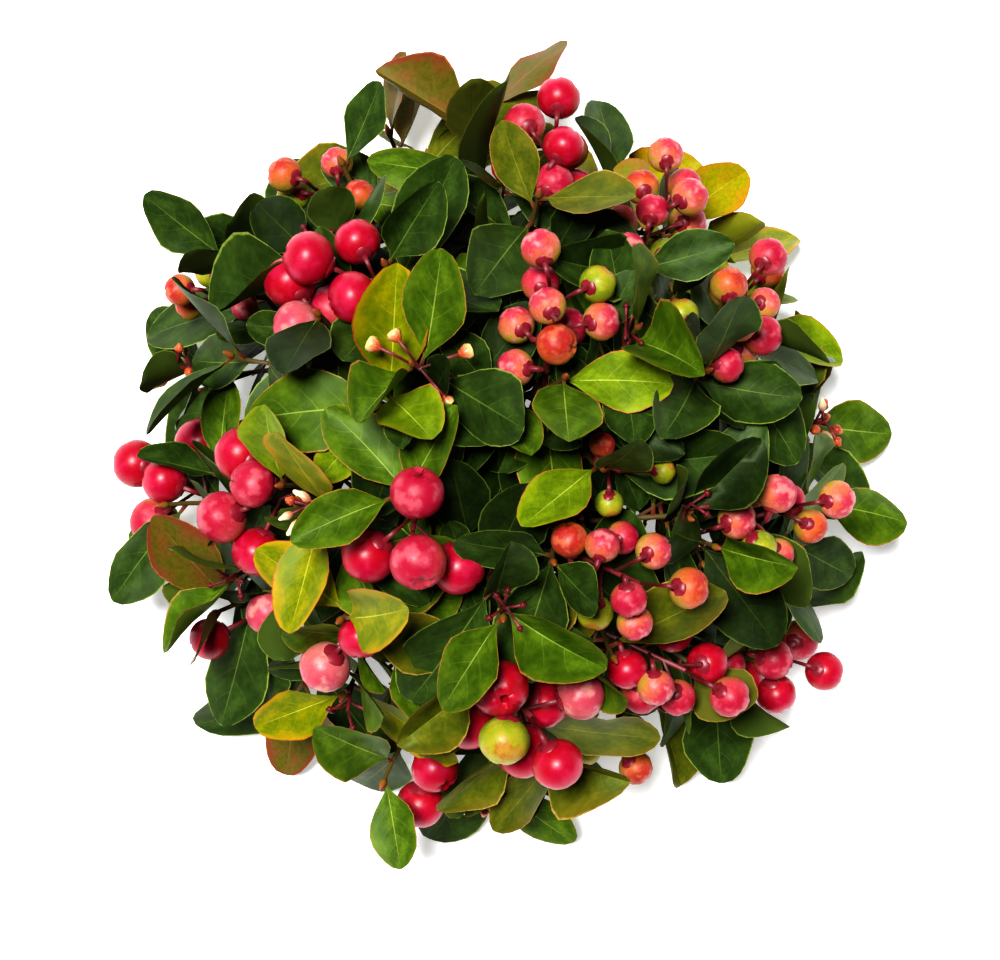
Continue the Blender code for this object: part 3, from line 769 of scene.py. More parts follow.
def select_points(obj, test):
    """In edit mode, selects the points whose place passes the test."""
    bpy.ops.object.mode_set(mode="OBJECT")
    mesh = obj.data
    chosen = [test(v.co) for v in mesh.vertices]
    mesh.vertices.foreach_set("select", chosen)
    for parts in (mesh.edges, mesh.polygons):
        parts.foreach_set("select", [all(chosen[v] for v in part.vertices) for part in parts])
    bpy.ops.object.mode_set(mode="EDIT")
    bpy.ops.mesh.select_mode(type="VERT")


def scale_points(obj, test, shares, around=(0, 0, 0)):
    """Selects points by their place, and scales them about a centre."""
    select_points(obj, test)
    bpy.ops.transform.resize(value=shares, center_override=around)


def raise_points(obj, test, rise):
    """Selects points by their place, and raises them, or lowers them by a rise under 0."""
    select_points(obj, test)
    bpy.ops.transform.translate(value=(0, 0, rise))


def finish_template(obj, uv_of):
    """Reads a shape as arrays and removes it. Each face corner's UV is uv_of(its point, its face)."""
    bpy.ops.object.mode_set(mode="OBJECT")
    mesh = obj.data
    points = np.array([v.co for v in mesh.vertices])
    faces = [tuple(p.vertices) for p in mesh.polygons]
    uvs = np.array([uv_of(mesh.vertices[v].co, p) for p in mesh.polygons for v in p.vertices])
    bpy.data.objects.remove(obj)
    print("template", len(points), "points", len(faces), "faces")
    return Template(points, faces, uvs)


class Pile:
    """Shapes gathered to become one joined mesh."""

    def __init__(self):
        self.points, self.faces, self.uvs, self.nodes = [], [], [], set()
        self.count = 0

    def add(self, points, faces, uvs, node):
        self.points.append(points)
        self.faces += [tuple(v + self.count for v in face) for face in faces]
        self.uvs.append(uvs)
        self.nodes.add(node)
        self.count += len(points)


def joined_piece(name, pile, material, sharp_angle):
    """One mesh of all that is in the pile, riding with the plant in place of the nodes it grew from."""
    mesh = bpy.data.meshes.new(name)
    mesh.from_pydata(np.concatenate(pile.points), [], pile.faces)
    uv_map = mesh.uv_layers.new(name=UV_NAME)
    uv_map.data.foreach_set("uv", np.concatenate(pile.uvs).ravel())
    mesh.shade_smooth()
    mesh.set_sharp_from_angle(angle=math.radians(sharp_angle))
    mesh.materials.append(material)
    mesh.validate()
    piece = bpy.data.objects.new(name, mesh)
    bpy.context.scene.collection.objects.link(piece)
    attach(piece, "root")
    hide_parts(*sorted(pile.nodes))
    print(name, sum(len(face) - 2 for face in pile.faces), "triangles")


# %% [markdown]
# The leaf
#
# A wintergreen leaf is a stiff, leathery blade on a short stalk. Its wedge-shaped foot widens into an egg
# shape that is broadest past the middle, with a blunt tip. A flat card would vanish seen from its edge,
# so the blade is a thin lens: a grid is narrowed row by row to the outline and doubled, the copy is
# turned over, and its inner points are lowered. The two margins are merged, so that the blade is closed.

# %% Model the leaf blade
BLADE_ROWS = (0.10, 0.16, 0.25, 0.36, 0.48, 0.60, 0.71, 0.81, 0.90, 0.965, 1.0)  # over the leaf's length
BLADE_COLUMNS = 4
BLADE_THICKNESS = 0.0125  # share of the leaf's length
LEAST_HALVES = (0.035, 0.05)  # least half width of the first row of points, and of the others
BLADE_UV_HALF = 0.22  # half the width of each side of the blade in the UV map
TOP_UV_MIDDLE = 0.25
UNDER_UV_MIDDLE = 0.75
BLADE_UV_FOOT = 0.04
BLADE_UV_LENGTH = 0.92
TOUCH = 1e-4  # points nearer than this are the same
ASIDE = 10  # a row that is done waits this far off, so that it isn't picked again
BELOW = 0.5  # the underside is shaped this far under the top


def blade_half_width(share):
    """Half the blade's width at a share of the leaf's length, where its broadest place is 1."""
    s = (share - BLADE_ROWS[0]) / (1 - BLADE_ROWS[0])
    return math.sin(math.pi * s**1.12) ** (0.5 + 0.5 * (1 - s)) if 0 < s < 1 else 0.0


def row_half_width(share):
    """Half the width of the row of points that is nearest to a share of the leaf's length."""
    row = min(range(len(BLADE_ROWS)), key=lambda i: abs(BLADE_ROWS[i] - share))
    return max(blade_half_width(BLADE_ROWS[row]), LEAST_HALVES[min(row, 1)])


def on_margin(p):
    first_or_last = min(abs(p.y - BLADE_ROWS[0]), abs(p.y - BLADE_ROWS[-1])) < TOUCH
    return first_or_last or abs(abs(p.x) - row_half_width(p.y)) < TOUCH


def model_blade():
    start_clean()
    last = len(BLADE_ROWS) - 1
    bpy.ops.mesh.primitive_grid_add(x_subdivisions=BLADE_COLUMNS, y_subdivisions=last, size=2)
    blade = bpy.context.object
    for row, share in reversed(list(enumerate(BLADE_ROWS))):
        height = -1 + 2 * row / last
        narrowed = (row_half_width(share), 1, 1)
        scale_points(blade, lambda p: abs(p.y - height) < TOUCH, narrowed, (0, height, 0))
        bpy.ops.transform.translate(value=(0, share - height + ASIDE, 0))
    select_points(blade, lambda p: True)
    bpy.ops.transform.translate(value=(0, -ASIDE, 0))
    bpy.ops.mesh.duplicate()
    bpy.ops.mesh.flip_normals()
    bpy.ops.transform.translate(value=(0, 0, -BELOW))
    raise_points(blade, lambda p: p.z < -BELOW / 2 and on_margin(p), BELOW)
    raise_points(blade, lambda p: p.z < -BELOW / 2, BELOW - BLADE_THICKNESS)
    select_points(blade, lambda p: True)
    bpy.ops.mesh.remove_doubles(threshold=TOUCH)
    bpy.ops.mesh.select_all(action="SELECT")
    bpy.ops.mesh.normals_make_consistent(inside=False)
    return blade


def blade_uv(p, polygon):
    """Across in half widths, so that the margin is a straight line on the map, and along in lengths."""
    middle = TOP_UV_MIDDLE if polygon.normal.z > 0 else UNDER_UV_MIDDLE
    return middle + BLADE_UV_HALF * p.x / row_half_width(p.y), BLADE_UV_FOOT + BLADE_UV_LENGTH * p.y


BLADE = finish_template(model_blade(), blade_uv)

# %% [markdown]
# The berry
#
# The fruit is the flower's cup grown fleshy round its seeds: a slightly flattened ball whose far end
# closes in a five-pointed star. A ball primitive is the start. Every fourth line of points near its far
# pole is drawn in to part the star's lobes, and the pole is pushed down between them. An unripe berry is
# five-angled there, a ripe one has swollen almost round, and some ripe ones stay open as a small hole
# with five flaps, which is extruded inwards.

# %% Model an angled berry, a round one and an open one
BERRY_SIDES = 20
BERRY_BANDS = 18  # from pole to pole, 10 degrees each
SEAM_DEPTH = 0.21  # share of its width that a seam takes off at the far pole
STALK_DIMPLE = (0.10, 0.05)  # rise of the near pole and of the ring round it
STAR_DIMPLE = (0.19, 0.12)  # drop of the far pole and of the ring round it
STAR_FROM = 0.9  # height on the ball above which the star lies
SHOULDER_FROM = 0.7
STAR_PARTING = 0.09  # drop of the seams between a closed star's lobes
FLAP_DEPTH = 0.10  # thickness of an open star's flaps, and the drop of the seams between them
SHOULDER_PARTING = 0.05
HOLE_SHARE = 0.45  # width of the hole over the star's
HOLE_DEPTH = 0.34


def between_lobes(p):
    """True on the five seams between the star's lobes."""
    turn = math.degrees(math.atan2(p.y, p.x)) % 72
    return min(turn, 72 - turn) < 6


def on_ring(p, ring):
    """True on one ring of the berry's ball, counted from its far pole."""
    return abs(p.z - math.cos(math.pi * ring / BERRY_BANDS)) < 0.004


def on_shoulder(p):
    """True in the ring just outside the star, and not in the hole."""
    return SHOULDER_FROM < p.z < STAR_FROM and math.hypot(p.x, p.y) > 0.4


def model_berry(crease, opened):
    """Crease is how deep its five seams are, from 0 to 1."""
    berry = unit_ball(BERRY_SIDES, BERRY_BANDS)
    for ring, rise in enumerate(STALK_DIMPLE):
        raise_points(berry, lambda p: on_ring(p, BERRY_BANDS - ring), rise)
    for ring in range(1, BERRY_BANDS // 2):
        share = 1 - SEAM_DEPTH * math.cos(math.pi * ring / BERRY_BANDS) * crease
        scale_points(berry, lambda p: on_ring(p, ring) and between_lobes(p), (share, share, 1))
    if opened:
        select_points(berry, lambda p: p.z > STAR_FROM)
        bpy.ops.mesh.extrude_region_move(TRANSFORM_OT_translate={"value": (0, 0, -FLAP_DEPTH)})
        bpy.ops.transform.resize(value=(HOLE_SHARE, HOLE_SHARE, 1), center_override=(0, 0, 0.8))
        raise_points(berry, lambda p: math.hypot(p.x, p.y) < 0.10 and p.z > 0, -HOLE_DEPTH)
        raise_points(berry, lambda p: p.z > STAR_FROM and between_lobes(p), -FLAP_DEPTH)
        raise_points(berry, lambda p: on_shoulder(p) and between_lobes(p), -SHOULDER_PARTING)
    else:
        for ring, drop in enumerate(STAR_DIMPLE):
            raise_points(berry, lambda p: on_ring(p, ring), -drop)
        raise_points(berry, lambda p: p.z > STAR_FROM and between_lobes(p), -STAR_PARTING)
    scale_points(berry, lambda p: True, (1, 1, BERRY_DEPTH_SHARE))
    bpy.ops.mesh.normals_make_consistent(inside=False)
    return berry


def turn_round(p):
    """The angle round Z, as a share of a full turn."""
    return math.atan2(p.y, p.x) / (2 * math.pi) % 1


def round_uv(p, polygon):
    """Angle round the axis, and the way up from the lower pole. A pole takes its face's angle."""
    face_turn = turn_round(polygon.center)
    turn = turn_round(p) if math.hypot(p.x, p.y) > TOUCH else face_turn
    turn += round(face_turn - turn)
    return turn, min(max(math.acos(max(-1, min(1, -p.z / max(p.length, 1e-6)))) / math.pi, 0), 1)


ANGLED_BERRY = finish_template(model_berry(1.0, False), round_uv)
ROUND_BERRY = finish_template(model_berry(0.35, False), round_uv)
OPEN_BERRY = finish_template(model_berry(0.5, True), round_uv)

# %% [markdown]
# Small parts of the fruit and shoots
#
# Where a berry meets its stalk, two dark red scales clasp it. They are cut from a ball of the berry's
# size: a cap is kept, its rim is drawn in to an oval and notched where the two scales part, and Solidify
# gives it a wall. One bud shape serves, at other sizes, for flower bells, for fruit that has just set,
# for the knobs left on spent stalks and for the buds at shoot tips. Young fruit that has grown further
# has a flat square end, which is the same bud with its top pressed down.

# %% Model the clasping scales, a bud and a square-ended young fruit
CLASP_SIDES = 12
CLASP_RINGS = 18  # rings of the whole ball, 10 degrees apart
CLASP_ANGLE = 30  # degrees from the berry's lower pole to the scales' rim
CLASP_OVAL = (0.87, 0.62)  # how far its rim is drawn in, along the two scales and across them
CLASP_NOTCH = 0.70  # how far in the two scales part, over the cap's half width
CLASP_WALL = 0.09
BUD_SIDES = 8
BUD_RINGS = 6
BUD_SHOULDER = (0.72, 0.72, 1.15)
BUD_POINT = 0.12
BUD_STRETCH = 1.25
FRUIT_SHOULDER = (1.05, 1.05, 0.25)
FRUIT_FOOT = (0.8, 0.8, 1.2)
FRUIT_DIMPLE = 0.16


def model_clasp():
    clasp = unit_ball(CLASP_SIDES, CLASP_RINGS)
    rim = -math.cos(math.radians(CLASP_ANGLE))
    select_points(clasp, lambda p: p.z > rim + 0.01)
    bpy.ops.mesh.delete(type="VERT")
    scale_points(clasp, lambda p: abs(p.z - rim) < 0.01, (*CLASP_OVAL, 1))
    scale_points(clasp, lambda p: abs(p.x) < 0.05 and abs(p.y) > 0.2, (1, CLASP_NOTCH, 1))
    scale_points(clasp, lambda p: True, (1, 1, BERRY_DEPTH_SHARE))
    bpy.ops.object.mode_set(mode="OBJECT")
    wall = clasp.modifiers.new("wall", "SOLIDIFY")
    wall.thickness = CLASP_WALL
    wall.offset = 1
    bpy.ops.object.modifier_apply(modifier=wall.name)
    return clasp


def model_bud():
    bud = unit_ball(BUD_SIDES, BUD_RINGS)
    scale_points(bud, lambda p: p.z > 0.4, BUD_SHOULDER)
    raise_points(bud, lambda p: p.z > 0.9, BUD_POINT)
    scale_points(bud, lambda p: True, (1, 1, BUD_STRETCH))
    return bud


def model_square_fruit():
    fruit = unit_ball(BUD_SIDES, BUD_RINGS)
    scale_points(fruit, lambda p: p.z > 0.4, FRUIT_SHOULDER, (0, 0, 0.5))
    raise_points(fruit, lambda p: p.z > 0.59, -FRUIT_DIMPLE)
    scale_points(fruit, lambda p: p.z < -0.4, FRUIT_FOOT, (0, 0, -0.4))
    return fruit


CLASP = finish_template(model_clasp(), round_uv)
BUD = finish_template(model_bud(), round_uv)
SQUARE_FRUIT = finish_template(model_square_fruit(), round_uv)

# %% Lay a template or a fine tube in its place
def lay(pile, template, middle, axis, facing, width, depth, node):
    """A copy of a template with its Z along the axis, its X towards facing, and this size."""
    x_way = (facing - axis * facing.dot(axis)).normalized()
    turn = np.array([x_way[:], axis.cross(x_way)[:], axis[:]])
    points = template.points * (width, width, depth) @ turn + np.array(middle[:])
    pile.add(points, template.faces, template.uvs, node)


def tube_uvs(rings, sides):
    """Round the tube by along it. Each end takes a small disc in the map's middle."""
    uvs = []
    for i in range(rings - 1):
        low, high = i / (rings - 1), (i + 1) / (rings - 1)
        for k in range(sides):
            left, right = k / sides, (k + 1) / sides
            uvs += [(left, low), (right, low), (right, high), (left, high)]
    disc = [2 * math.pi * k / sides for k in range(sides)]
    uvs += [(0.5 + 0.1 * math.cos(a), 0.5 + 0.1 * math.sin(a)) for a in disc[::-1] + disc]
    return np.array(uvs)


def add_tube(pile, points, radii, sides, node):
    shape = tube_shape(Tube(points, radii, sides))
    pile.add(np.array([p[:] for p in shape.points]), shape.faces, tube_uvs(len(points), sides), node)


# %% [markdown]
# Bending each leaf
#
# No two leaves lie alike. A lattice or a curve modifier could bend each one, but for hundreds it is
# simpler to move the template's points by a formula: the blade arches over as its solid does, folds a
# little along the midrib, cups, waves, swings to one side and twists, and its margins sway out and in,
# each by a drawn amount. Some of the topmost leaves, which are young, roll their sides up.

# %% Gather every leaf by its tint
BLADE_FOLDS = (-0.12, 0.50)  # rise of the margin over the half width, from a fold along the midrib
BLADE_CUPS = (-0.42, 0.26)
CURLED_SHARE = 0.22  # share of a spray's topmost leaves whose sides roll up
BLADE_CURLS = (0.6, 1.2)
BLADE_WAVES = (0.0, 0.16)
WAVES_PER_BLADE = 1.6
WAVE_LEAD = 0.4  # share of a wave that the right side runs ahead of the left
MARGIN_SWAYS = (0.01, 0.06)  # how far a margin sways out and in, over the blade's half width
SWAYS_PER_BLADE = (1.3, 2.6)
BLADE_BENDS = (-0.09, 0.09)  # sideways shift of the tip over the length
BLADE_TWISTS = (-24, 24)  # degrees from foot to tip
LEAF_STALK_RADIUS = 0.00055
LEAF_STALK_WIDTHS = (1.25, 0.95, 0.5)  # shares of that radius at its foot, middle and end
LEAF_STALK_REACH = 0.20  # share of the leaf's length at which the stalk has run out into the midrib
LEAF_STALK_SAG = 0.0003
LEAF_STALK_SIDES = 5
TINT_ORDER = ("deep", "dark", "mid", "light", "fresh", "yellow")
TINT_STRAY = 0.16  # share of leaves that are one tint off their spray's
YOUNG_RANKS = 2  # how many of a spray's topmost leaves are young
AGING_RANK = 5  # from this leaf down, counted from the spray's tip, green ones darken
DEEP_SHARE = 0.6  # share of the old leaves that are deepest in colour


def margin_sway(y, rng):
    turns = rng.uniform(0, 1) + rng.uniform(*SWAYS_PER_BLADE) * y
    return 1 + rng.uniform(*MARGIN_SWAYS) * np.sin(2 * np.pi * turns)


def blade_points(leaf, rng):
    x, y, z = BLADE.points.T
    half = leaf.width / 2
    blade_y = y - BLADE_ROWS[0]
    phase = rng.uniform(0, 1) + WAVE_LEAD * (x > 0)
    curled = rng.random() < CURLED_SHARE and leaf.rank < YOUNG_RANKS
    cup = rng.uniform(*(BLADE_CURLS if curled else BLADE_CUPS))
    rise = rng.uniform(*BLADE_FOLDS) * np.abs(x) + cup * x**2
    wave = np.sin(2 * np.pi * (WAVES_PER_BLADE * y + phase))
    rise = half * (rise + rng.uniform(*BLADE_WAVES) * x**2 * wave)
    left, right = margin_sway(y, rng), margin_sway(y, rng)
    sideways = x * half * np.where(x < 0, left, right) + rng.uniform(*BLADE_BENDS) * leaf.length * blade_y**2
    twist = math.radians(rng.uniform(*BLADE_TWISTS)) * blade_y
    beside = sideways * np.cos(twist) - rise * np.sin(twist)
    above = sideways * np.sin(twist) + rise * np.cos(twist) - leaf.sag * leaf.length * y**2 + z * leaf.length
    side = leaf.along.cross(leaf.face)
    frame_rows = np.array([side[:], leaf.along[:], leaf.face[:]])
    return np.stack([beside, y * leaf.length, above], axis=1) @ frame_rows + np.array(leaf.root[:])


def leaf_tint(mass, leaf, rng):
    """Young leaves take their spray's young tint. Low ones are old and darker, and some stray by one step."""
    tint = mass.plan.young if leaf.rank < YOUNG_RANKS else mass.plan.old
    if leaf.rank >= OLD_RANK or (leaf.rank >= AGING_RANK and tint in ("dark", "mid")):
        tint = "deep" if rng.random() < DEEP_SHARE else "dark"
    if tint in TINT_ORDER and rng.random() < TINT_STRAY:
        place = TINT_ORDER.index(tint) + rng.choice((-1, 1))
        tint = TINT_ORDER[min(max(place, 0), len(TINT_ORDER) - 1)]
    return tint


# Half of the leaves take the map with left and right swapped, so that two neighbours seldom match.
MIRRORED_UVS = BLADE.uvs * (-1, 1) + (TOP_UV_MIDDLE * 2, 0) + np.where(BLADE.uvs[:, :1] > 0.5, (1, 0), (0, 0))

leaf_piles = {}
leaf_stalks = Pile()
for mass in masses:
    rng = random.Random(SEED * 3000 + mass.number)
    for leaf in mass.leaves:
        pile = leaf_piles.setdefault(leaf_tint(mass, leaf, rng), Pile())
        pile.add(blade_points(leaf, rng), BLADE.faces, rng.choice((BLADE.uvs, MIRRORED_UVS)), mass.node)
        end = leaf_middle(leaf, LEAF_STALK_REACH) - leaf.face * (0.5 * BLADE_THICKNESS * leaf.length)
        middle = (leaf.seat + end) / 2 - UP * LEAF_STALK_SAG
        radii = [LEAF_STALK_RADIUS * wide for wide in LEAF_STALK_WIDTHS]
        add_tube(leaf_stalks, [leaf.seat, middle, end], radii, LEAF_STALK_SIDES, mass.node)
print({tint: len(pile.points) for tint, pile in sorted(leaf_piles.items())})

# %% Gather the shoots and sprigs
SHOOT_STEPS = 9
SHOOT_SIDES = 6
LIMB_OVERLAP = 0.0009  # how far a limb's foot is sunk into what carries it
LIMB_FATNESS = 1.25


def limb_points(tube, steps):
    """Points along a limb, with its foot sunk into what carries it."""
    points = curve_points(tube.controls, steps)
    points[0] = points[0] - (points[1] - points[0]).normalized() * LIMB_OVERLAP
    return points


def fine_radii(tube, steps, fatness):
    """The tube's radii, made fatter and read off at more points along it."""
    radii = np.interp(np.linspace(0, 1, steps + 1), np.linspace(0, 1, len(tube.radii)), tube.radii)
    return [r * fatness for r in radii]


twigs = Pile()
for mass in masses:
    for tube in mass.twigs + [sprig for sprig, _ in mass.sprigs]:
        radii = fine_radii(tube, SHOOT_STEPS, LIMB_FATNESS)
        add_tube(twigs, limb_points(tube, SHOOT_STEPS), radii, SHOOT_SIDES, mass.node)

# %% [markdown]
# Fruit in its colours
#
# A truss ripens unevenly: the berries near its foot are yellow-green with a red cheek, the rest orange to
# pink, and the fully ripe ones crimson. Each crop deals its berries from a short list of tints. The cheek
# is the side that the sun reaches, so each berry is rolled with its cheek outwards and up.

# %% Gather berries, stalks and scales
CROP_TINTS = {
    "truss": ("blush", "rose", "blush", "orange", "blush", "rose", "blush", "green"),
    "red_truss": ("rose", "crimson", "rose", "crimson", "blush"),
    "heap": ("crimson", "pale", "crimson", "crimson", "crimson", "crimson", "green"),
    "ripe": ("crimson", "crimson", "rose"),
    "pair": ("crimson", "pale", "crimson"),
    "small": ("orange", "blush", "green", "orange"),
    "green": ("green", "orange", "green"),
}
RIPE_CROPS = ("heap", "ripe", "pair")
RIPE_SWELL = 1.05  # a ripe berry is this much fuller than its faceted solid
OPEN_SHARE = 0.4  # share of crimson berries whose star is open
CHEEK_ROLL = 35  # degrees that a cheek may stray from the light
STALK_BOW = 0.55  # a stalk's curve keeps its end directions over this share of its span
FRUIT_STALK_BASE = 0.00050
FRUIT_STALK_END = 0.00085
FRUIT_STALK_STEPS = 8
FRUIT_STALK_SIDES = 6
STALK_SEAT = 0.90  # where the stalk ends, below the berry's middle and over its radius
SPINE_FATNESS = 1.5
STYLE_SHARE = 0.5  # share of the unripe berries that still carry it
STYLE_SEAT = 0.7  # where it starts, above the berry's middle and over its radius
STYLE_LEAN = 0.35
STYLE_LENGTH = 0.0016  # how long it is, apart from a share of the berry's radius
STYLE_SHARE_LENGTH = 0.25
STYLE_RADIUS = 0.00009
# How far each berry's far end hangs down from its stalk's own way. The ripe ones stand any way round.
HANGS = {"truss": (0.8, 1.5), "red_truss": (0.7, 1.4), "small": (0.6, 1.2), "green": (0.6, 1.2)}
RIPE_HANGS = (-0.2, 0.8)

berry_piles = {}
fruit_stalks = Pile()
clasps = Pile()
styles = Pile()


def add_stalk(start, end, end_way, base_radius, end_radius, node):
    """A stalk that bows from its start and comes into its end along end_way."""
    handle = (end - start).length * STALK_BOW
    controls = (start, start + (end - start).normalized() * handle, end - end_way * handle, end)
    shares = [i / FRUIT_STALK_STEPS for i in range(FRUIT_STALK_STEPS + 1)]
    radii = [base_radius + (end_radius - base_radius) * share**2 for share in shares]
    add_tube(fruit_stalks, curve_points(controls, FRUIT_STALK_STEPS), radii, FRUIT_STALK_SIDES, node)


def add_berry(mass, berry, tint, rng):
    """A berry with its scales, its stalk, and for some the dried style at its far end."""
    ripe = mass.plan.crop in RIPE_CROPS
    size = berry.radius * (RIPE_SWELL if ripe else 1)
    hang = rng.uniform(*HANGS.get(mass.plan.crop, RIPE_HANGS))
    axis = (berry.axis - UP * hang).normalized()
    light = (berry.middle - FOCUS).normalized() + UP
    x_way = (light - axis * light.dot(axis)).normalized()
    roll = math.radians(rng.uniform(-CHEEK_ROLL, CHEEK_ROLL))
    cheek = x_way * math.cos(roll) + axis.cross(x_way) * math.sin(roll)
    shape = ROUND_BERRY if ripe else ANGLED_BERRY
    if tint == "crimson" and rng.random() < OPEN_SHARE:
        shape = OPEN_BERRY
    lay(berry_piles.setdefault(tint, Pile()), shape, berry.middle, axis, cheek, size, size, mass.node)
    turned = across(axis, rng.uniform(0, 180))
    lay(clasps, CLASP, berry.middle, axis, turned, size, size, mass.node)
    foot = berry.middle - axis * (size * STALK_SEAT)
    add_stalk(berry.start, foot, axis, FRUIT_STALK_BASE, FRUIT_STALK_END, mass.node)
    if tint != "crimson" and rng.random() < STYLE_SHARE:
        top = berry.middle + axis * (size * STYLE_SEAT)
        lean = (axis + across(axis, rng.uniform(0, 360)) * STYLE_LEAN).normalized()
        hair_end = top + lean * (STYLE_LENGTH + size * STYLE_SHARE_LENGTH)
        add_tube(styles, [top, hair_end], [STYLE_RADIUS, STYLE_RADIUS], 4, mass.node)


for mass in masses:
    rng = random.Random(SEED * 4000 + mass.number)
    if mass.stalks:
        spine = mass.stalks[0]
        radii = fine_radii(spine, SHOOT_STEPS, SPINE_FATNESS)
        add_tube(fruit_stalks, curve_points(spine.controls, SHOOT_STEPS), radii, SHOOT_SIDES, mass.node)
    tints = CROP_TINTS.get(mass.plan.crop, ())
    for number, berry in enumerate(mass.berries):
        add_berry(mass, berry, tints[(number + mass.number) % len(tints)], rng)
print({tint: len(pile.points) for tint, pile in sorted(berry_piles.items())})

# %% [markdown]
# Flowers, young fruit and spent stalks
#
# Every shoot ends in a pointed bud. A few masses flower late: waxy bells and fruit that has just set
# stand together on a short stalk, and one mass near the top has square-ended young fruit on long bowed
# arms. Here and there a red stalk stands bare, with a knob at the end of each arm where a berry fell. All
# of these are one small rule: a stalk, arms that leave it in a spiral, and a tip on each arm. An arm that
# would run into a leaf or a berry isn't grown, and the next place round the spiral is tried.

# %% Gather tip buds and clusters
Tip = namedtuple("Tip", "piece shape radius half_length")
BELL = Tip("flower_bells", BUD, 0.0014, 0.0019)
SET_FRUIT = Tip("set_fruits", BUD, 0.0017, 0.0013)
SQUARE_ENDED = Tip("square_young_fruits", SQUARE_FRUIT, 0.0022, 0.0022)
KNOB = Tip("spent_knobs", BUD, 0.0010, 0.0007)
Cluster = namedtuple("Cluster", "stalk arm lowest droop count tips")
LATE_FLOWERS = Cluster(0.013, 0.0055, 0.15, 0.4, 11, (SET_FRUIT, BELL, SET_FRUIT, SET_FRUIT))
YOUNG_FRUIT = Cluster(0.0080, 0.0110, 0.60, 0.8, 4, (SQUARE_ENDED,))
SPENT = Cluster(0.010, 0.0055, 0.35, 0.4, 5, (KNOB,))
CLUSTERS = {
    "crown_1": YOUNG_FRUIT, "crown_2": LATE_FLOWERS, "crown_3": SPENT, "crown_4": SPENT, "crown_5": SPENT,
    "shoulder_2": SPENT, "shoulder_4": SPENT, "shoulder_5": SPENT, "shoulder_7": SPENT, "shoulder_9": SPENT,
    "skirt_3": LATE_FLOWERS, "skirt_6": LATE_FLOWERS, "skirt_7": SPENT, "skirt_9": LATE_FLOWERS,
    "skirt_11": LATE_FLOWERS,
}
CLUSTER_ROOT = 0.88  # share of the way up the second shoot
CLUSTER_ROLL = 50  # degrees that its stalk may stray from the shoot's upper side
CLUSTER_LEAN = 0.8
CLUSTER_NOD = 0.3
CLUSTER_RADII = (0.0006, 0.0005)
HIGHEST_ARM = 0.97  # share of the way along the stalk
ARM_OUTWARD = 0.7
ARM_JITTER = 20
ARM_LENGTHS = (0.75, 1.15)
ARM_RADII = (0.0004, 0.0005)
ARM_TRIES = 120
TIP_SIZES = (0.8, 1.15)
TIP_SEAT = 0.8  # how far past its arm's end a tip's middle lies, in half lengths
SOLID_KINDS = ("leaf", "berry")  # what an arm keeps clear of
BUD_SIZE = (0.0011, 0.0016)  # radius and half length of the bud at a shoot's tip
BUD_SEAT = 0.7
SPRIG_BUD_SHARE = 0.75  # size of a sprig's bud over a shoot's

tip_buds = Pile()
tip_piles = {}


def arm_space(foot, end, axis, wide, long):
    """The room that an arm's outer part and its tip take up."""
    inner, outer = foot + (end - foot) * 0.4, end + axis * long * 1.6
    return tube_shape(Tube([inner, end, outer], [wide * 0.8] * 3, 4))


def grow_cluster(mass, cluster, rng):
    """A short bowed stalk from the second shoot, with arms along it that each end in a tip."""
    shoot, _ = mass.shoots[1]
    start = curve_point(shoot.controls, CLUSTER_ROOT)
    _, tangent = along_points(shoot.points, CLUSTER_ROOT)
    roll = rng.uniform(-CLUSTER_ROLL, CLUSTER_ROLL)
    out = (across(tangent, roll) * CLUSTER_LEAN + tangent).normalized()
    end = start + out * cluster.stalk
    add_stalk(start, end, (out - UP * CLUSTER_NOD).normalized(), *CLUSTER_RADII, mass.node)
    grown = 0
    for k in range(ARM_TRIES):
        share = cluster.lowest + (HIGHEST_ARM - cluster.lowest) * grown / (cluster.count - 1)
        foot = start + (end - start) * share
        roll = LEAF_TURN * k + rng.uniform(-ARM_JITTER, ARM_JITTER)
        way = (out * ARM_OUTWARD + across(out, roll)).normalized()
        axis = (way - UP * cluster.droop).normalized()
        arm_end = foot + (way + axis).normalized() * cluster.arm * rng.uniform(*ARM_LENGTHS)
        tip = cluster.tips[grown % len(cluster.tips)]
        size = rng.uniform(*TIP_SIZES)
        wide, long = tip.radius * size, tip.half_length * size
        space = arm_space(foot, arm_end, axis, wide, long)
        if not garden.is_clear(space, lambda o: o.kind not in SOLID_KINDS):
            continue
        add_stalk(foot, arm_end, axis, *ARM_RADII, mass.node)
        pile = tip_piles.setdefault(tip.piece, Pile())
        middle = arm_end + axis * long * TIP_SEAT
        lay(pile, tip.shape, middle, axis, across(axis, 0), wide, long, mass.node)
        garden.add(space, mass.number, "berry")
        grown += 1
        if grown == cluster.count:
            break
    print(mass.label, "arms", grown)


for mass in masses:
    for tube in [shoot for shoot, _ in mass.shoots + mass.sprigs]:
        axis = (tube.controls[3] - tube.controls[2]).normalized()
        size = 1 if tube.radii[-1] > SPRIG_TIP_RADIUS else SPRIG_BUD_SHARE
        wide, long = (v * size for v in BUD_SIZE)
        middle = tube.points[-1] + axis * long * BUD_SEAT
        lay(tip_buds, BUD, middle, axis, across(axis, 0), wide, long, mass.node)
    if mass.label in CLUSTERS:
        grow_cluster(mass, CLUSTERS[mass.label], random.Random(SEED * 5000 + mass.number))
print("tip buds", len(tip_buds.points), {name: len(pile.points) for name, pile in tip_piles.items()})

# %% [markdown]
# Painting with nodes
#
# Each finish below is procedural. Its pattern is worked out from the UV map alone, never from the camera
# or the light, so that it holds from every side and on every copy. One small function adds a node, sets
# it and links it.

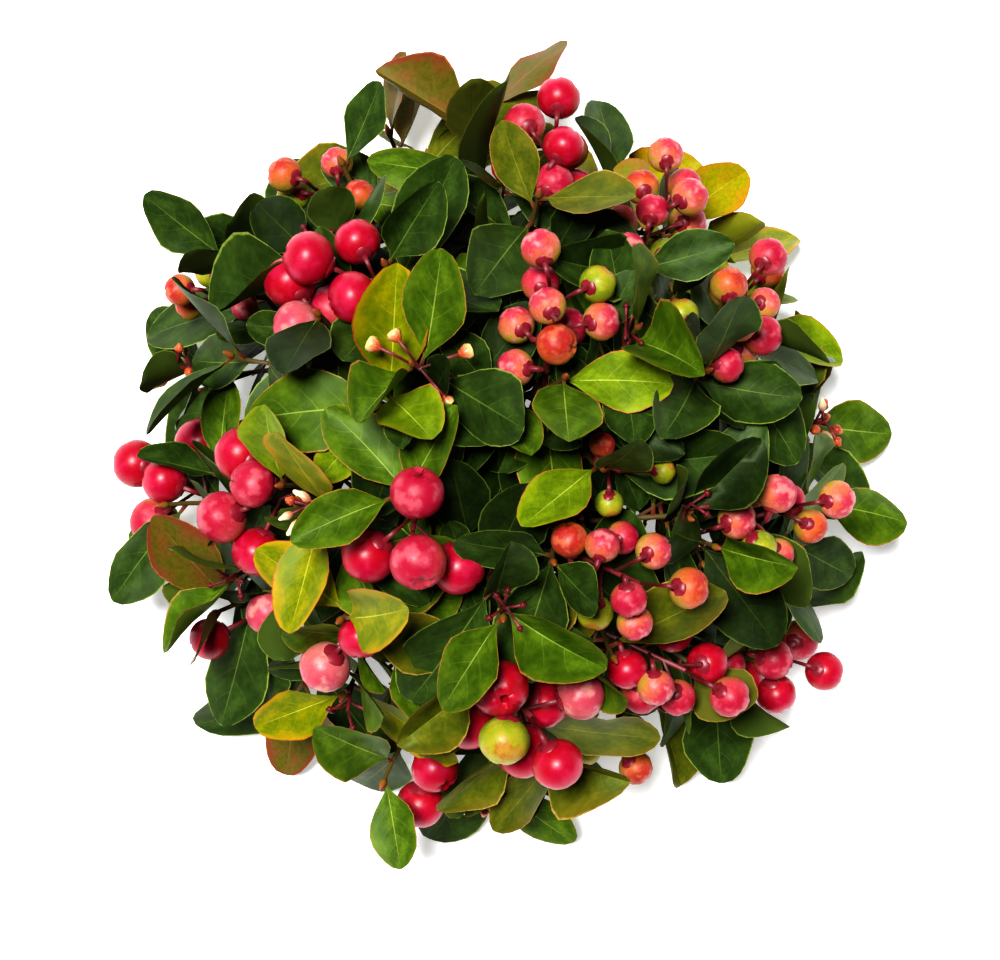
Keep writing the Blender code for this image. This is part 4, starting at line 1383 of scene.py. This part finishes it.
# %% Helpers for materials
MIX = {"data_type": "RGBA"}  # a Mix takes how much, the colour below and the colour over it
SMOOTH = {"interpolation_type": "SMOOTHSTEP"}  # a Map Range takes a value, its range and the results there


def linear(hex_colour):
    """An sRGB hex colour as linear RGBA."""
    values = [int(hex_colour[i:i + 2], 16) / 255 for i in (1, 3, 5)]
    return (*[v / 12.92 if v <= 0.04045 else ((v + 0.055) / 1.055) ** 2.4 for v in values], 1)


def plug(socket, value):
    """Feeds a socket with a value, another socket, or a node, which stands for its first output in use."""
    if isinstance(value, bpy.types.Node):
        value = next(out for out in value.outputs if out.enabled)
    if isinstance(value, bpy.types.NodeSocket):
        socket.id_data.links.new(value, socket)
    else:
        socket.default_value = value


def feed(node, inputs):
    """Plugs values into a node's inputs by their names."""
    for name, value in inputs.items():
        plug(node.inputs[name], value)
    return node


def new_finish(name, constants):
    """A material, its shader with what is the same all over, and a function that adds a node to its tree."""
    material = bpy.data.materials.new(name)
    material.use_nodes = True
    tree = material.node_tree

    def add(kind, *values, **settings):
        """A node with these settings, whose inputs in use take these values in turn."""
        node = tree.nodes.new("ShaderNode" + kind)
        for setting, value in settings.items():
            setattr(node, setting, value)
        for socket, value in zip([s for s in node.inputs if s.enabled], values):
            plug(socket, value)
        return node

    return material, feed(tree.nodes["Principled BSDF"], constants), add


# %% [markdown]
# Leaf finish
#
# A wintergreen leaf has a thick, waxy skin over leathery tissue, so it shines softly and keeps its own
# colour. Its midrib is a thin pale line, its side veins hardly show, the skin quilts a little between
# them, and its rim is a pale or red-brown thread with minute teeth. Young leaves flush red towards the
# rim and are blotched with brown. The underside is paler and duller. One function paints all tints from a
# short row of colours.

# %% Paint a leaf
LeafLook = namedtuple(
    "LeafLook", "blade patch vein rim tooth flush under vein_strength flush_strength blotches"
)
LEAF_LOOKS = {
    "deep": ("#1a260e", "#253412", "#4c5c24", "#56642a", "#465222", "#121d07", "#344019", 0.7, 0.0, 0.0),
    "dark": ("#283a13", "#3d531f", "#768a40", "#7f8e40", "#5c6828", "#2b3a10", "#4a5a24", 0.85, 0.2, 0.0),
    "mid": ("#3c540c", "#5b7418", "#a4b456", "#9a7a38", "#7c3c26", "#5f6f14", "#5c6e28", 0.9, 0.3, 0.1),
    "light": ("#5c7208", "#7a8e16", "#bcc85a", "#a8723a", "#8e3f24", "#9aa012", "#76842c", 0.9, 0.4, 0.15),
    "fresh": ("#667203", "#8f8a06", "#c0c84a", "#a85a24", "#8a3218", "#b08a10", "#8a902c", 0.8, 0.7, 0.35),
    "yellow": ("#8e8a03", "#a0860a", "#cfc650", "#a56a22", "#8a4018", "#b8741c", "#9c962e", 0.6, 0.5, 0.3),
    "olive": ("#4c5510", "#6b6c18", "#8d9340", "#a08a44", "#7c4428", "#6e5a1c", "#6c702c", 0.7, 0.5, 0.2),
    "bronze": ("#5a5616", "#744e22", "#8c8240", "#a0623c", "#5e281c", "#7c3826", "#665c28", 0.6, 0.9, 0.45),
}
LENGTH_OVER_HALF = 3.4  # a leaf's length over its half width, roughly, so that patches aren't stretched
VEINS_PER_BLADE = 5.5
VEIN_SLANT = -0.8  # how far a side vein runs up the blade while it crosses one half, in vein spacings
VEIN_CURVE = -0.7  # and how much further, as it curves towards the tip
VEIN_OFFSET = 0.45  # how far the right side's veins stand off the left's, in vein spacings
TEETH_PER_BLADE = 15
QUILT_DEPTH = 0.00016
WAX_TINT = "#e4ffc8"  # the green cast of what the leaf's wax reflects


def leaf_finish(name, look):
    material, shader, add = new_finish(name, {
        "IOR": 1.45, "Specular IOR Level": 0.20, "Specular Tint": linear(WAX_TINT),
    })
    u, v = add("SeparateXYZ", add("UVMap", uv_map=UV_NAME)).outputs[:2]
    below = add("Math", u, 0.5, operation="GREATER_THAN")
    middle = add("Math", below, 0.5, TOP_UV_MIDDLE, operation="MULTIPLY_ADD")
    from_middle = add("Math", u, middle, operation="SUBTRACT")
    x = add("Math", from_middle, BLADE_UV_HALF, operation="DIVIDE")
    out = add("Math", x, operation="ABSOLUTE")

    # The blade's green, in broad patches and fine dapples.
    long_v = add("Math", v, LENGTH_OVER_HALF, operation="MULTIPLY")
    spot = add("CombineXYZ", x, long_v, below)
    broad = add("TexNoise", spot, 1.1, 2, 0.5)
    fine = add("TexNoise", spot, 7, 4, 0.62)
    patches = add("MapRange", broad, 0.36, 0.68, **SMOOTH)
    colour = add("Mix", patches, linear(look.blade), linear(look.patch), **MIX)
    dapple = add("MapRange", fine, 0.3, 0.7, 0.78, 1.2)
    colour = add("VectorMath", colour, dapple, operation="SCALE")

    # The flush towards the rim, and brown blots.
    towards_rim = add("Math", out, v, operation="MULTIPLY")
    towards_rim = add("Math", broad, 0.9, towards_rim, operation="MULTIPLY_ADD")
    flush = add("MapRange", towards_rim, 0.75, 1.25, **SMOOTH)
    flush = add("Math", flush, look.flush_strength, operation="MULTIPLY")
    blots = add("MapRange", fine, 0.60, 0.70, 0, look.blotches, **SMOOTH)

    # The side veins and the midrib.
    on_right = add("Math", x, 0, operation="GREATER_THAN")
    spacings = add("Math", v, VEINS_PER_BLADE, operation="MULTIPLY")
    spacings = add("Math", on_right, VEIN_OFFSET, spacings, operation="MULTIPLY_ADD")
    rise = add("Math", out, VEIN_CURVE, VEIN_SLANT, operation="MULTIPLY_ADD")
    slanted = add("Math", out, rise, spacings, operation="MULTIPLY_ADD")
    slanted = add("Math", broad, 0.3, slanted, operation="MULTIPLY_ADD")
    between = add("Math", slanted, 0.5, operation="PINGPONG")
    faint = add("MapRange", out, 0.1, 0.85, 0.22, 0)
    side_veins = add("MapRange", between, 0.034, 0.012, **SMOOTH)
    side_veins = add("Math", side_veins, faint, operation="MULTIPLY")
    midrib_half = add("MapRange", v, 0.1, 1, 0.036, 0.016)
    midrib = add("Math", out, midrib_half, operation="DIVIDE")
    midrib = add("MapRange", midrib, 1, 0.5, **SMOOTH)
    fading = add("MapRange", v, 0.2, 0.95, 1, 0.25)
    midrib = add("Math", midrib, fading, operation="MULTIPLY")
    lines = add("Math", midrib, side_veins, operation="MAXIMUM")
    lines = add("Math", lines, look.vein_strength, operation="MULTIPLY")
    paleness = add("Math", below, 0.8, operation="MULTIPLY")

    # The rim's thread, wider at the tip, and its teeth.
    near_tip = add("MapRange", v, 0.88, 0.96, 0.5, 0.99)
    edge = add("Math", out, near_tip, operation="MAXIMUM")
    edge = add("Math", fine, 0.05, edge, operation="MULTIPLY_ADD")
    on_rim = add("MapRange", edge, 0.975, 1.005, **SMOOTH)
    steps = add("Math", v, TEETH_PER_BLADE, operation="MULTIPLY")
    steps = add("Math", steps, 0.5, operation="PINGPONG")
    teeth = add("MapRange", steps, 0.14, 0.02, 0, 0.6)
    teeth = add("Math", teeth, on_rim, operation="MULTIPLY")
    for amount, tint in (
        (flush, look.flush), (blots, look.tooth), (lines, look.vein),
        (paleness, look.under), (on_rim, look.rim), (teeth, look.tooth),
    ):
        colour = add("Mix", amount, colour, linear(tint), **MIX)

    dull = add("MapRange", fine, 0.3, 0.7, 0.38, 0.50)
    dull = add("Math", below, 0.18, dull, operation="MULTIPLY_ADD")
    height = add("Math", midrib, -0.9, between, operation="MULTIPLY_ADD")
    height = add("Math", fine, 0.3, height, operation="MULTIPLY_ADD")
    quilt = feed(add("Bump"), {"Height": height, "Strength": 0.5, "Distance": QUILT_DEPTH})
    feed(shader, {"Base Color": colour, "Roughness": dull, "Normal": quilt})
    return material


for tint, pile in sorted(leaf_piles.items()):
    finish = leaf_finish(f"waxy_leaf_{tint}", LeafLook(*LEAF_LOOKS[tint]))
    joined_piece(f"leaves_{tint}", pile, finish, 50)

# %% [markdown]
# Berry finish
#
# A berry's skin is smooth, thin and full of water: satin, with a wide soft highlight and a little light
# passing under it. Its colour runs from the stalk to the far end and deepens on the sunny cheek. Pale
# patches in broad noise are partly a waxy bloom and partly a painted highlight. The angle and the way
# along the map are turned into a place on a ball, so that the mottling has no seam.

# %% Paint a berry
BerryLook = namedtuple("BerryLook", "foot flesh cheek bloom speck cheek_from bloom_strength satin")
# The fourth colour paints pale patches that are partly a waxy bloom and partly a painted highlight.
BERRY_LOOKS = {
    "crimson": ("#980a1a", "#a60a26", "#a80e34", "#c2325a", "#5c0818", 1.1, 0.40, 0.30),
    "rose": ("#b07a36", "#b43842", "#a61638", "#d06c78", "#6c121e", 0.80, 0.55, 0.40),
    "blush": ("#ae9038", "#c06248", "#b22c48", "#da968e", "#802424", 1.05, 0.65, 0.42),
    "orange": ("#96802a", "#ba5a2e", "#a42a24", "#d2845c", "#6c221a", 1.10, 0.5, 0.42),
    "pale": ("#c0746a", "#bc5c62", "#b44458", "#d4988c", "#a03c48", 1.1, 0.7, 0.36),
    "green": ("#7c8a1c", "#9c9a24", "#a8421c", "#b4b044", "#6a3a1a", 1.45, 0.5, 0.38),
}


def round_map(add):
    """From the map, the way along the piece, and the cosine and sine of the turn round it."""
    around, way = add("SeparateXYZ", add("UVMap", uv_map=UV_NAME)).outputs[:2]
    turn = add("Math", around, 2 * math.pi, operation="MULTIPLY")
    return way, add("Math", turn, operation="COSINE"), add("Math", turn, operation="SINE")


def berry_finish(name, look):
    material, shader, add = new_finish(name, {
        "IOR": 1.42, "Specular IOR Level": 0.45,
        "Subsurface Weight": 0.05, "Subsurface Scale": 0.0015, "Subsurface Radius": (1.0, 0.35, 0.25),
    })
    way, cosine, sine = round_map(add)
    polar = add("Math", way, math.pi, operation="MULTIPLY")
    wide = add("Math", polar, operation="SINE")
    x = add("Math", cosine, wide, operation="MULTIPLY")
    y = add("Math", sine, wide, operation="MULTIPLY")
    height = add("Math", polar, operation="COSINE")
    z = add("Math", height, -1, operation="MULTIPLY")
    spot = add("CombineXYZ", x, y, z)

    broad = add("TexNoise", spot, 1.7, 3, 0.55)
    fine = add("TexNoise", spot, 6, 4, 0.65)
    dots = add("TexNoise", spot, 15, 1)
    sunward = add("Math", z, 0.5, operation="MULTIPLY")
    for part, weight in ((x, 1.3), (broad, 2.2), (fine, 0.9)):
        sunward = add("Math", part, weight, sunward, operation="MULTIPLY_ADD")
    sunward = add("Math", sunward, 0.55, operation="MULTIPLY")
    ripeness = add("Math", sunward, look.cheek_from, operation="SUBTRACT")
    low = add("MapRange", ripeness, -0.75, -0.10, **SMOOTH)
    high = add("MapRange", ripeness, -0.15, 0.35, **SMOOTH)
    # Pale patches in broad noise: partly a waxy bloom, partly a painted highlight that doesn't follow the
    # lamp.
    bloom = add("MapRange", broad, 0.46, 0.70, **SMOOTH)
    bloom = add("Math", bloom, look.bloom_strength, operation="MULTIPLY")
    specks = add("MapRange", dots, 0.66, 0.73, 0, 0.5)
    scar = add("MapRange", way, 0.93, 0.99, 0, 0.9)
    colour = linear(look.foot)
    for amount, tint in (
        (low, look.flesh), (high, look.cheek), (bloom, look.bloom), (specks, look.speck), (scar, look.speck),
    ):
        colour = add("Mix", amount, colour, linear(tint), **MIX)
    satin = add("Math", fine, 0.3, look.satin - 0.1, operation="MULTIPLY_ADD")
    feed(shader, {"Base Color": colour, "Roughness": satin})
    return material


for tint, pile in sorted(berry_piles.items()):
    finish = berry_finish(f"satin_berry_{tint}", BerryLook(*BERRY_LOOKS[tint]))
    joined_piece(f"berries_{tint}", pile, finish, 45)

# %% [markdown]
# Stalk, scale and bud finishes
#
# Fruit stalks and the scales on the berries are smooth and dark red. Leaf stalks are red on green. Young
# shoots are green-brown with a thin skin that turns to bark lower down. Each tube's colour changes along
# it and is streaked lengthwise, which noise stretched along the tube's own map gives.

# %% Paint the tubes and buds
TubeLook = namedtuple("TubeLook", "base tip streak roughness depth")
TUBE_LOOKS = {
    "young_shoot_skin": ("#523820", "#5a4c22", "#2e1d12", 0.55, 0.0001),
    "leaf_stalk_skin": ("#6e2a22", "#70762a", "#521c1a", 0.45, 0.0001),
    "fruit_stalk_skin": ("#4c1c18", "#74202a", "#3c1412", 0.42, 0.0001),
    "clasping_scale_skin": ("#862030", "#6c1a24", "#581420", 0.38, 0.0001),
    "dried_style_skin": ("#2c1c14", "#1a120e", "#140c0a", 0.60, 0.0001),
    "tip_bud_scale_skin": ("#6e6e20", "#94502a", "#5c2a1c", 0.45, 0.0001),
    "waxy_bell_skin": ("#b06a4c", "#efe6bc", "#dcc090", 0.38, 0.0001),
    "set_fruit_skin": ("#8a2c1c", "#c05a30", "#d89a50", 0.38, 0.0001),
    "cream_fruit_skin": ("#b4442c", "#f0dc98", "#e0b868", 0.36, 0.0001),
    "spent_knob_skin": ("#701820", "#541418", "#380f12", 0.50, 0.0001),
    "ridged_thin_bark": ("#3a2616", "#5a3c26", "#20140c", 0.80, 0.0004),
}
STREAKS_ACROSS = 3  # noise spacings over a tube's radius
STREAK_LENGTH = 2  # a tube's whole length in radii, as the noise takes it, which draws the streaks out


def tube_finish(name):
    look = TubeLook(*TUBE_LOOKS[name])
    material, shader, add = new_finish(name, {"Roughness": look.roughness, "Specular IOR Level": 0.4})
    way, x, y = round_map(add)
    z = add("Math", way, STREAK_LENGTH, operation="MULTIPLY")
    streaks = add("TexNoise", add("CombineXYZ", x, y, z), STREAKS_ACROSS, 4, 0.6)
    shifted = add("Math", way, 0.25, operation="SUBTRACT")
    shifted = add("Math", streaks, 0.5, shifted, operation="MULTIPLY_ADD")
    change = add("MapRange", shifted, 0.1, 0.9, **SMOOTH)
    colour = add("Mix", change, linear(look.base), linear(look.tip), **MIX)
    darker = add("MapRange", streaks, 0.52, 0.70, 0, 0.7)
    colour = add("Mix", darker, colour, linear(look.streak), **MIX)
    relief = feed(add("Bump"), {"Height": streaks, "Strength": 0.6, "Distance": look.depth})
    feed(shader, {"Base Color": colour, "Normal": relief})
    return material


for name, pile, finish in (
    ("shoots", twigs, "young_shoot_skin"),
    ("leaf_stalks", leaf_stalks, "leaf_stalk_skin"),
    ("fruit_stalks", fruit_stalks, "fruit_stalk_skin"),
    ("clasping_scales", clasps, "clasping_scale_skin"),
    ("berry_styles", styles, "dried_style_skin"),
    ("tip_buds", tip_buds, "tip_bud_scale_skin"),
    ("flower_bells", tip_piles["flower_bells"], "waxy_bell_skin"),
    ("set_fruits", tip_piles["set_fruits"], "set_fruit_skin"),
    ("square_young_fruits", tip_piles["square_young_fruits"], "cream_fruit_skin"),
    ("spent_knobs", tip_piles["spent_knobs"], "spent_knob_skin"),
):
    joined_piece(name, pile, tube_finish(finish), 60)

# %% [markdown]
# Stem and boughs in bark
#
# The short main stem flares where it meets the ground, and its thin bark is ridged lengthwise. A disc is
# extruded up through the stem's heights, narrowed at each, subdivided, and displaced by a cloud texture,
# so that the ridges are real shape. Its foot stays flat. The boughs are finer tubes with the same ridges
# worked out by a formula.

# %% Model the main stem
STEM_FACETS = 28
STEM_TOP_INSET = 0.0012
STEM_TOP_RISE = 0.0006
STEM_ROUNDS = 2  # subdivisions, so that the ridges have points to move
STEM_RIDGES = 0.0007
STEM_GRAIN = 0.0016
FOOT_BAND = 0.0004  # below this height the bark isn't moved

start_clean()
bpy.ops.mesh.primitive_circle_add(vertices=STEM_FACETS, radius=STEM_PROFILE[0][1], fill_type="NGON")
stem = bpy.context.object
stem.name = "stem_bark"
bpy.ops.object.mode_set(mode="EDIT")
for (low, wide), (high, narrow) in zip(STEM_PROFILE, STEM_PROFILE[1:]):
    rise = stem_middle(high) - stem_middle(low)
    bpy.ops.mesh.extrude_region_move(TRANSFORM_OT_translate={"value": rise})
    share = narrow / wide
    bpy.ops.transform.resize(value=(share, share, 1), center_override=stem_middle(high))
bpy.ops.mesh.inset(thickness=STEM_TOP_INSET)
bpy.ops.transform.translate(value=(0, 0, STEM_TOP_RISE))
bpy.ops.mesh.select_all(action="SELECT")
bpy.ops.mesh.normals_make_consistent(inside=False)
bpy.ops.object.mode_set(mode="OBJECT")
subdivide = stem.modifiers.new("rounds", "SUBSURF")
subdivide.subdivision_type = "SIMPLE"
subdivide.levels = subdivide.render_levels = STEM_ROUNDS
bpy.ops.object.modifier_apply(modifier=subdivide.name)
above = stem.vertex_groups.new(name="above_ground")
above.add([v.index for v in stem.data.vertices if v.co.z > FOOT_BAND], 1.0, "REPLACE")
grain = bpy.data.textures.new("bark_grain", "CLOUDS")
grain.noise_scale = STEM_GRAIN
ridges = stem.modifiers.new("ridges", "DISPLACE")
ridges.texture = grain
ridges.strength = STEM_RIDGES
ridges.vertex_group = above.name
bpy.ops.object.modifier_apply(modifier=ridges.name)
print("stem points", len(stem.data.vertices), "height", round(max(v.co.z for v in stem.data.vertices), 4))


# %% Give the stem its map, and gather the boughs
BOUGH_FINE_SIDES = 10
BOUGH_FINE_STEPS = 16
BOUGH_FATNESS = 1.08
BOUGH_RIDGE = 0.13  # share of the bough's radius
RIDGE_SHARE = 0.6  # brings the sum of the two waves of ridges down to about 1


def wrap_uv(mesh, height):
    """Angle round Z by height. A face on the seam keeps to its own side of it."""
    uv_map = mesh.uv_layers.new(name=UV_NAME)
    for polygon in mesh.polygons:
        face_turn = turn_round(polygon.center - stem_middle(polygon.center.z))
        for corner in polygon.loop_indices:
            p = mesh.vertices[mesh.loops[corner].vertex_index].co
            turn = turn_round(p - stem_middle(p.z))
            turn += round(face_turn - turn)
            uv_map.data[corner].uv = (min(max(turn, 0), 1), min(max(p.z / height, 0), 1))


def add_ridged_tube(pile, tube, node, rng):
    """A bough as a fine tube whose skin has lengthwise ridges that wander round it."""
    points = limb_points(tube, BOUGH_FINE_STEPS)
    points[-1] = points[-1] + (points[-1] - points[-2]).normalized() * CLEAR
    radii = fine_radii(tube, BOUGH_FINE_STEPS, BOUGH_FATNESS)
    shape = tube_shape(Tube(points, radii, BOUGH_FINE_SIDES))
    phase = rng.uniform(0, 6)
    moved = []
    for number, p in enumerate(shape.points):
        ring, side = divmod(number, BOUGH_FINE_SIDES)
        angle = 2 * math.pi * side / BOUGH_FINE_SIDES
        ridge = math.sin(3 * angle + phase + 0.5 * ring) + 0.7 * math.sin(5 * angle - 0.9 * ring + 2 * phase)
        moved.append(points[ring] + (p - points[ring]) * (1 + BOUGH_RIDGE * RIDGE_SHARE * ridge))
    pile.add(np.array([p[:] for p in moved]), shape.faces, tube_uvs(len(points), BOUGH_FINE_SIDES), node)


wrap_uv(stem.data, STEM_PROFILE[-1][0])
stem.data.shade_smooth()
stem.data.set_sharp_from_angle(angle=math.radians(50))
BARK = tube_finish("ridged_thin_bark")
stem.data.materials.append(BARK)
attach(stem, "root")
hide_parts("main_stem")

boughs = Pile()
for mass in masses:
    add_ridged_tube(boughs, mass.bough, f"bough_{mass.label}", random.Random(SEED * 6000 + mass.number))
joined_piece("boughs", boughs, BARK, 60)

# %% [markdown]
# Floor, light and camera
#
# The picture looks almost straight down on the plant against white. A pale floor stands in for the
# ground. One wide soft light from above, near the camera, gives the berries a broad highlight and leaves
# the inside of the crown dark. A point lamp would fade over the floor, so a sun with a wide disc is used,
# which is even everywhere. The surroundings are bright at the horizon and dark overhead, so they light
# the crown's sides and not its inside. The camera stands far off with a long lens, so that the crown
# keeps its true outline.

# %% Set the floor, lamps and camera
FLOOR_RADIUS = 12
FLOOR_GLOW = 0.33  # as on a lit table, so that the gaps in the crown's rim stay pale
PICTURE = (1000, 960)  # pixels
CROWN_MIDDLE = (508, 450)  # the pixel at the middle of the crown
PIXEL_SIZE = 0.000277  # metres that one pixel of the picture covers at the height of the aim
CAMERA_DISTANCE = 0.80
CAMERA_ELEVATION = 88  # degrees above the horizon
SENSOR = 0.036
AIM_HEIGHT = 0.055
LIGHT_FROM = Vector((-0.16, 0.14, 0.87))  # the way from the crown towards the light
LIGHT_DISC = 18  # degrees across, which sets how soft the shadows are
LIGHT_STRENGTH = 4.8
HORIZON_STRENGTH = 0.80
OVERHEAD_STRENGTH = 0.0
HORIZON_BAND = (0.10, 0.45)  # sines of the heights at which the horizon's light starts to fade and has gone

start_clean()
bpy.ops.mesh.primitive_circle_add(vertices=96, radius=FLOOR_RADIUS, fill_type="NGON")
floor = bpy.context.object
floor.name = "floor"
pale, _, _ = new_finish("pale_floor", {
    "Base Color": linear("#f7f7f7"), "Roughness": 0.9,
    "Emission Color": (1, 1, 1, 1), "Emission Strength": FLOOR_GLOW,
})
floor.data.materials.append(pale)
floor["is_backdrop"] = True

world = bpy.data.worlds.new("studio")
bpy.context.scene.world = world
world.use_nodes = True
sky = world.node_tree.nodes
sky_way = sky.new("ShaderNodeTexCoord").outputs["Generated"]
way_out = feed(sky.new("ShaderNodeSeparateXYZ"), {"Vector": sky_way})
fade = feed(sky.new("ShaderNodeMapRange"), {
    "Value": way_out.outputs["Z"], "From Min": HORIZON_BAND[0], "From Max": HORIZON_BAND[1],
    "To Min": HORIZON_STRENGTH, "To Max": OVERHEAD_STRENGTH,
})
feed(sky["Background"], {"Color": (1, 1, 1, 1), "Strength": fade})

lowest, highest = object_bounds()
crown_middle = (lowest + highest) / 2
aim = Vector((crown_middle.x, crown_middle.y, AIM_HEIGHT))
light_data = bpy.data.lights.new("soft_light", "SUN")
light_data.angle = math.radians(LIGHT_DISC)
light_data.energy = LIGHT_STRENGTH
light = bpy.data.objects.new("soft_light", light_data)
light.location = aim + LIGHT_FROM
light.rotation_euler = (-LIGHT_FROM).to_track_quat("-Z", "Y").to_euler()
bpy.context.scene.collection.objects.link(light)

camera_data = bpy.data.cameras.new("camera")
camera_data.sensor_width = SENSOR * 1000
camera_data.lens = 1000 * SENSOR * CAMERA_DISTANCE / (PIXEL_SIZE * PICTURE[0])
elevation = math.radians(CAMERA_ELEVATION)
back = Vector((0, -math.cos(elevation), math.sin(elevation)))
picture_up = Vector((0, math.sin(elevation), math.cos(elevation)))
shift_right = (PICTURE[0] / 2 - CROWN_MIDDLE[0]) * PIXEL_SIZE
shift_up = (CROWN_MIDDLE[1] - PICTURE[1] / 2) * PIXEL_SIZE
target = aim + Vector((shift_right, 0, 0)) + picture_up * shift_up
camera = bpy.data.objects.new("camera", camera_data)
camera.location = target + back * CAMERA_DISTANCE
camera.rotation_euler = (-back).to_track_quat("-Z", "Y").to_euler()
bpy.context.scene.collection.objects.link(camera)
bpy.context.scene.camera = camera
bpy.context.scene.view_settings.view_transform = "Standard"
bpy.context.scene.view_settings.look = "High Contrast"
print("lens", round(camera_data.lens, 1), "mm")

# %% Compare the two boxes and finish
visual_box = [list(corner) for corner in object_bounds()]
for label, box in (("cad", cad_box), ("visual", visual_box)):
    print(label, [[round(1000 * v, 1) for v in corner] for corner in box])
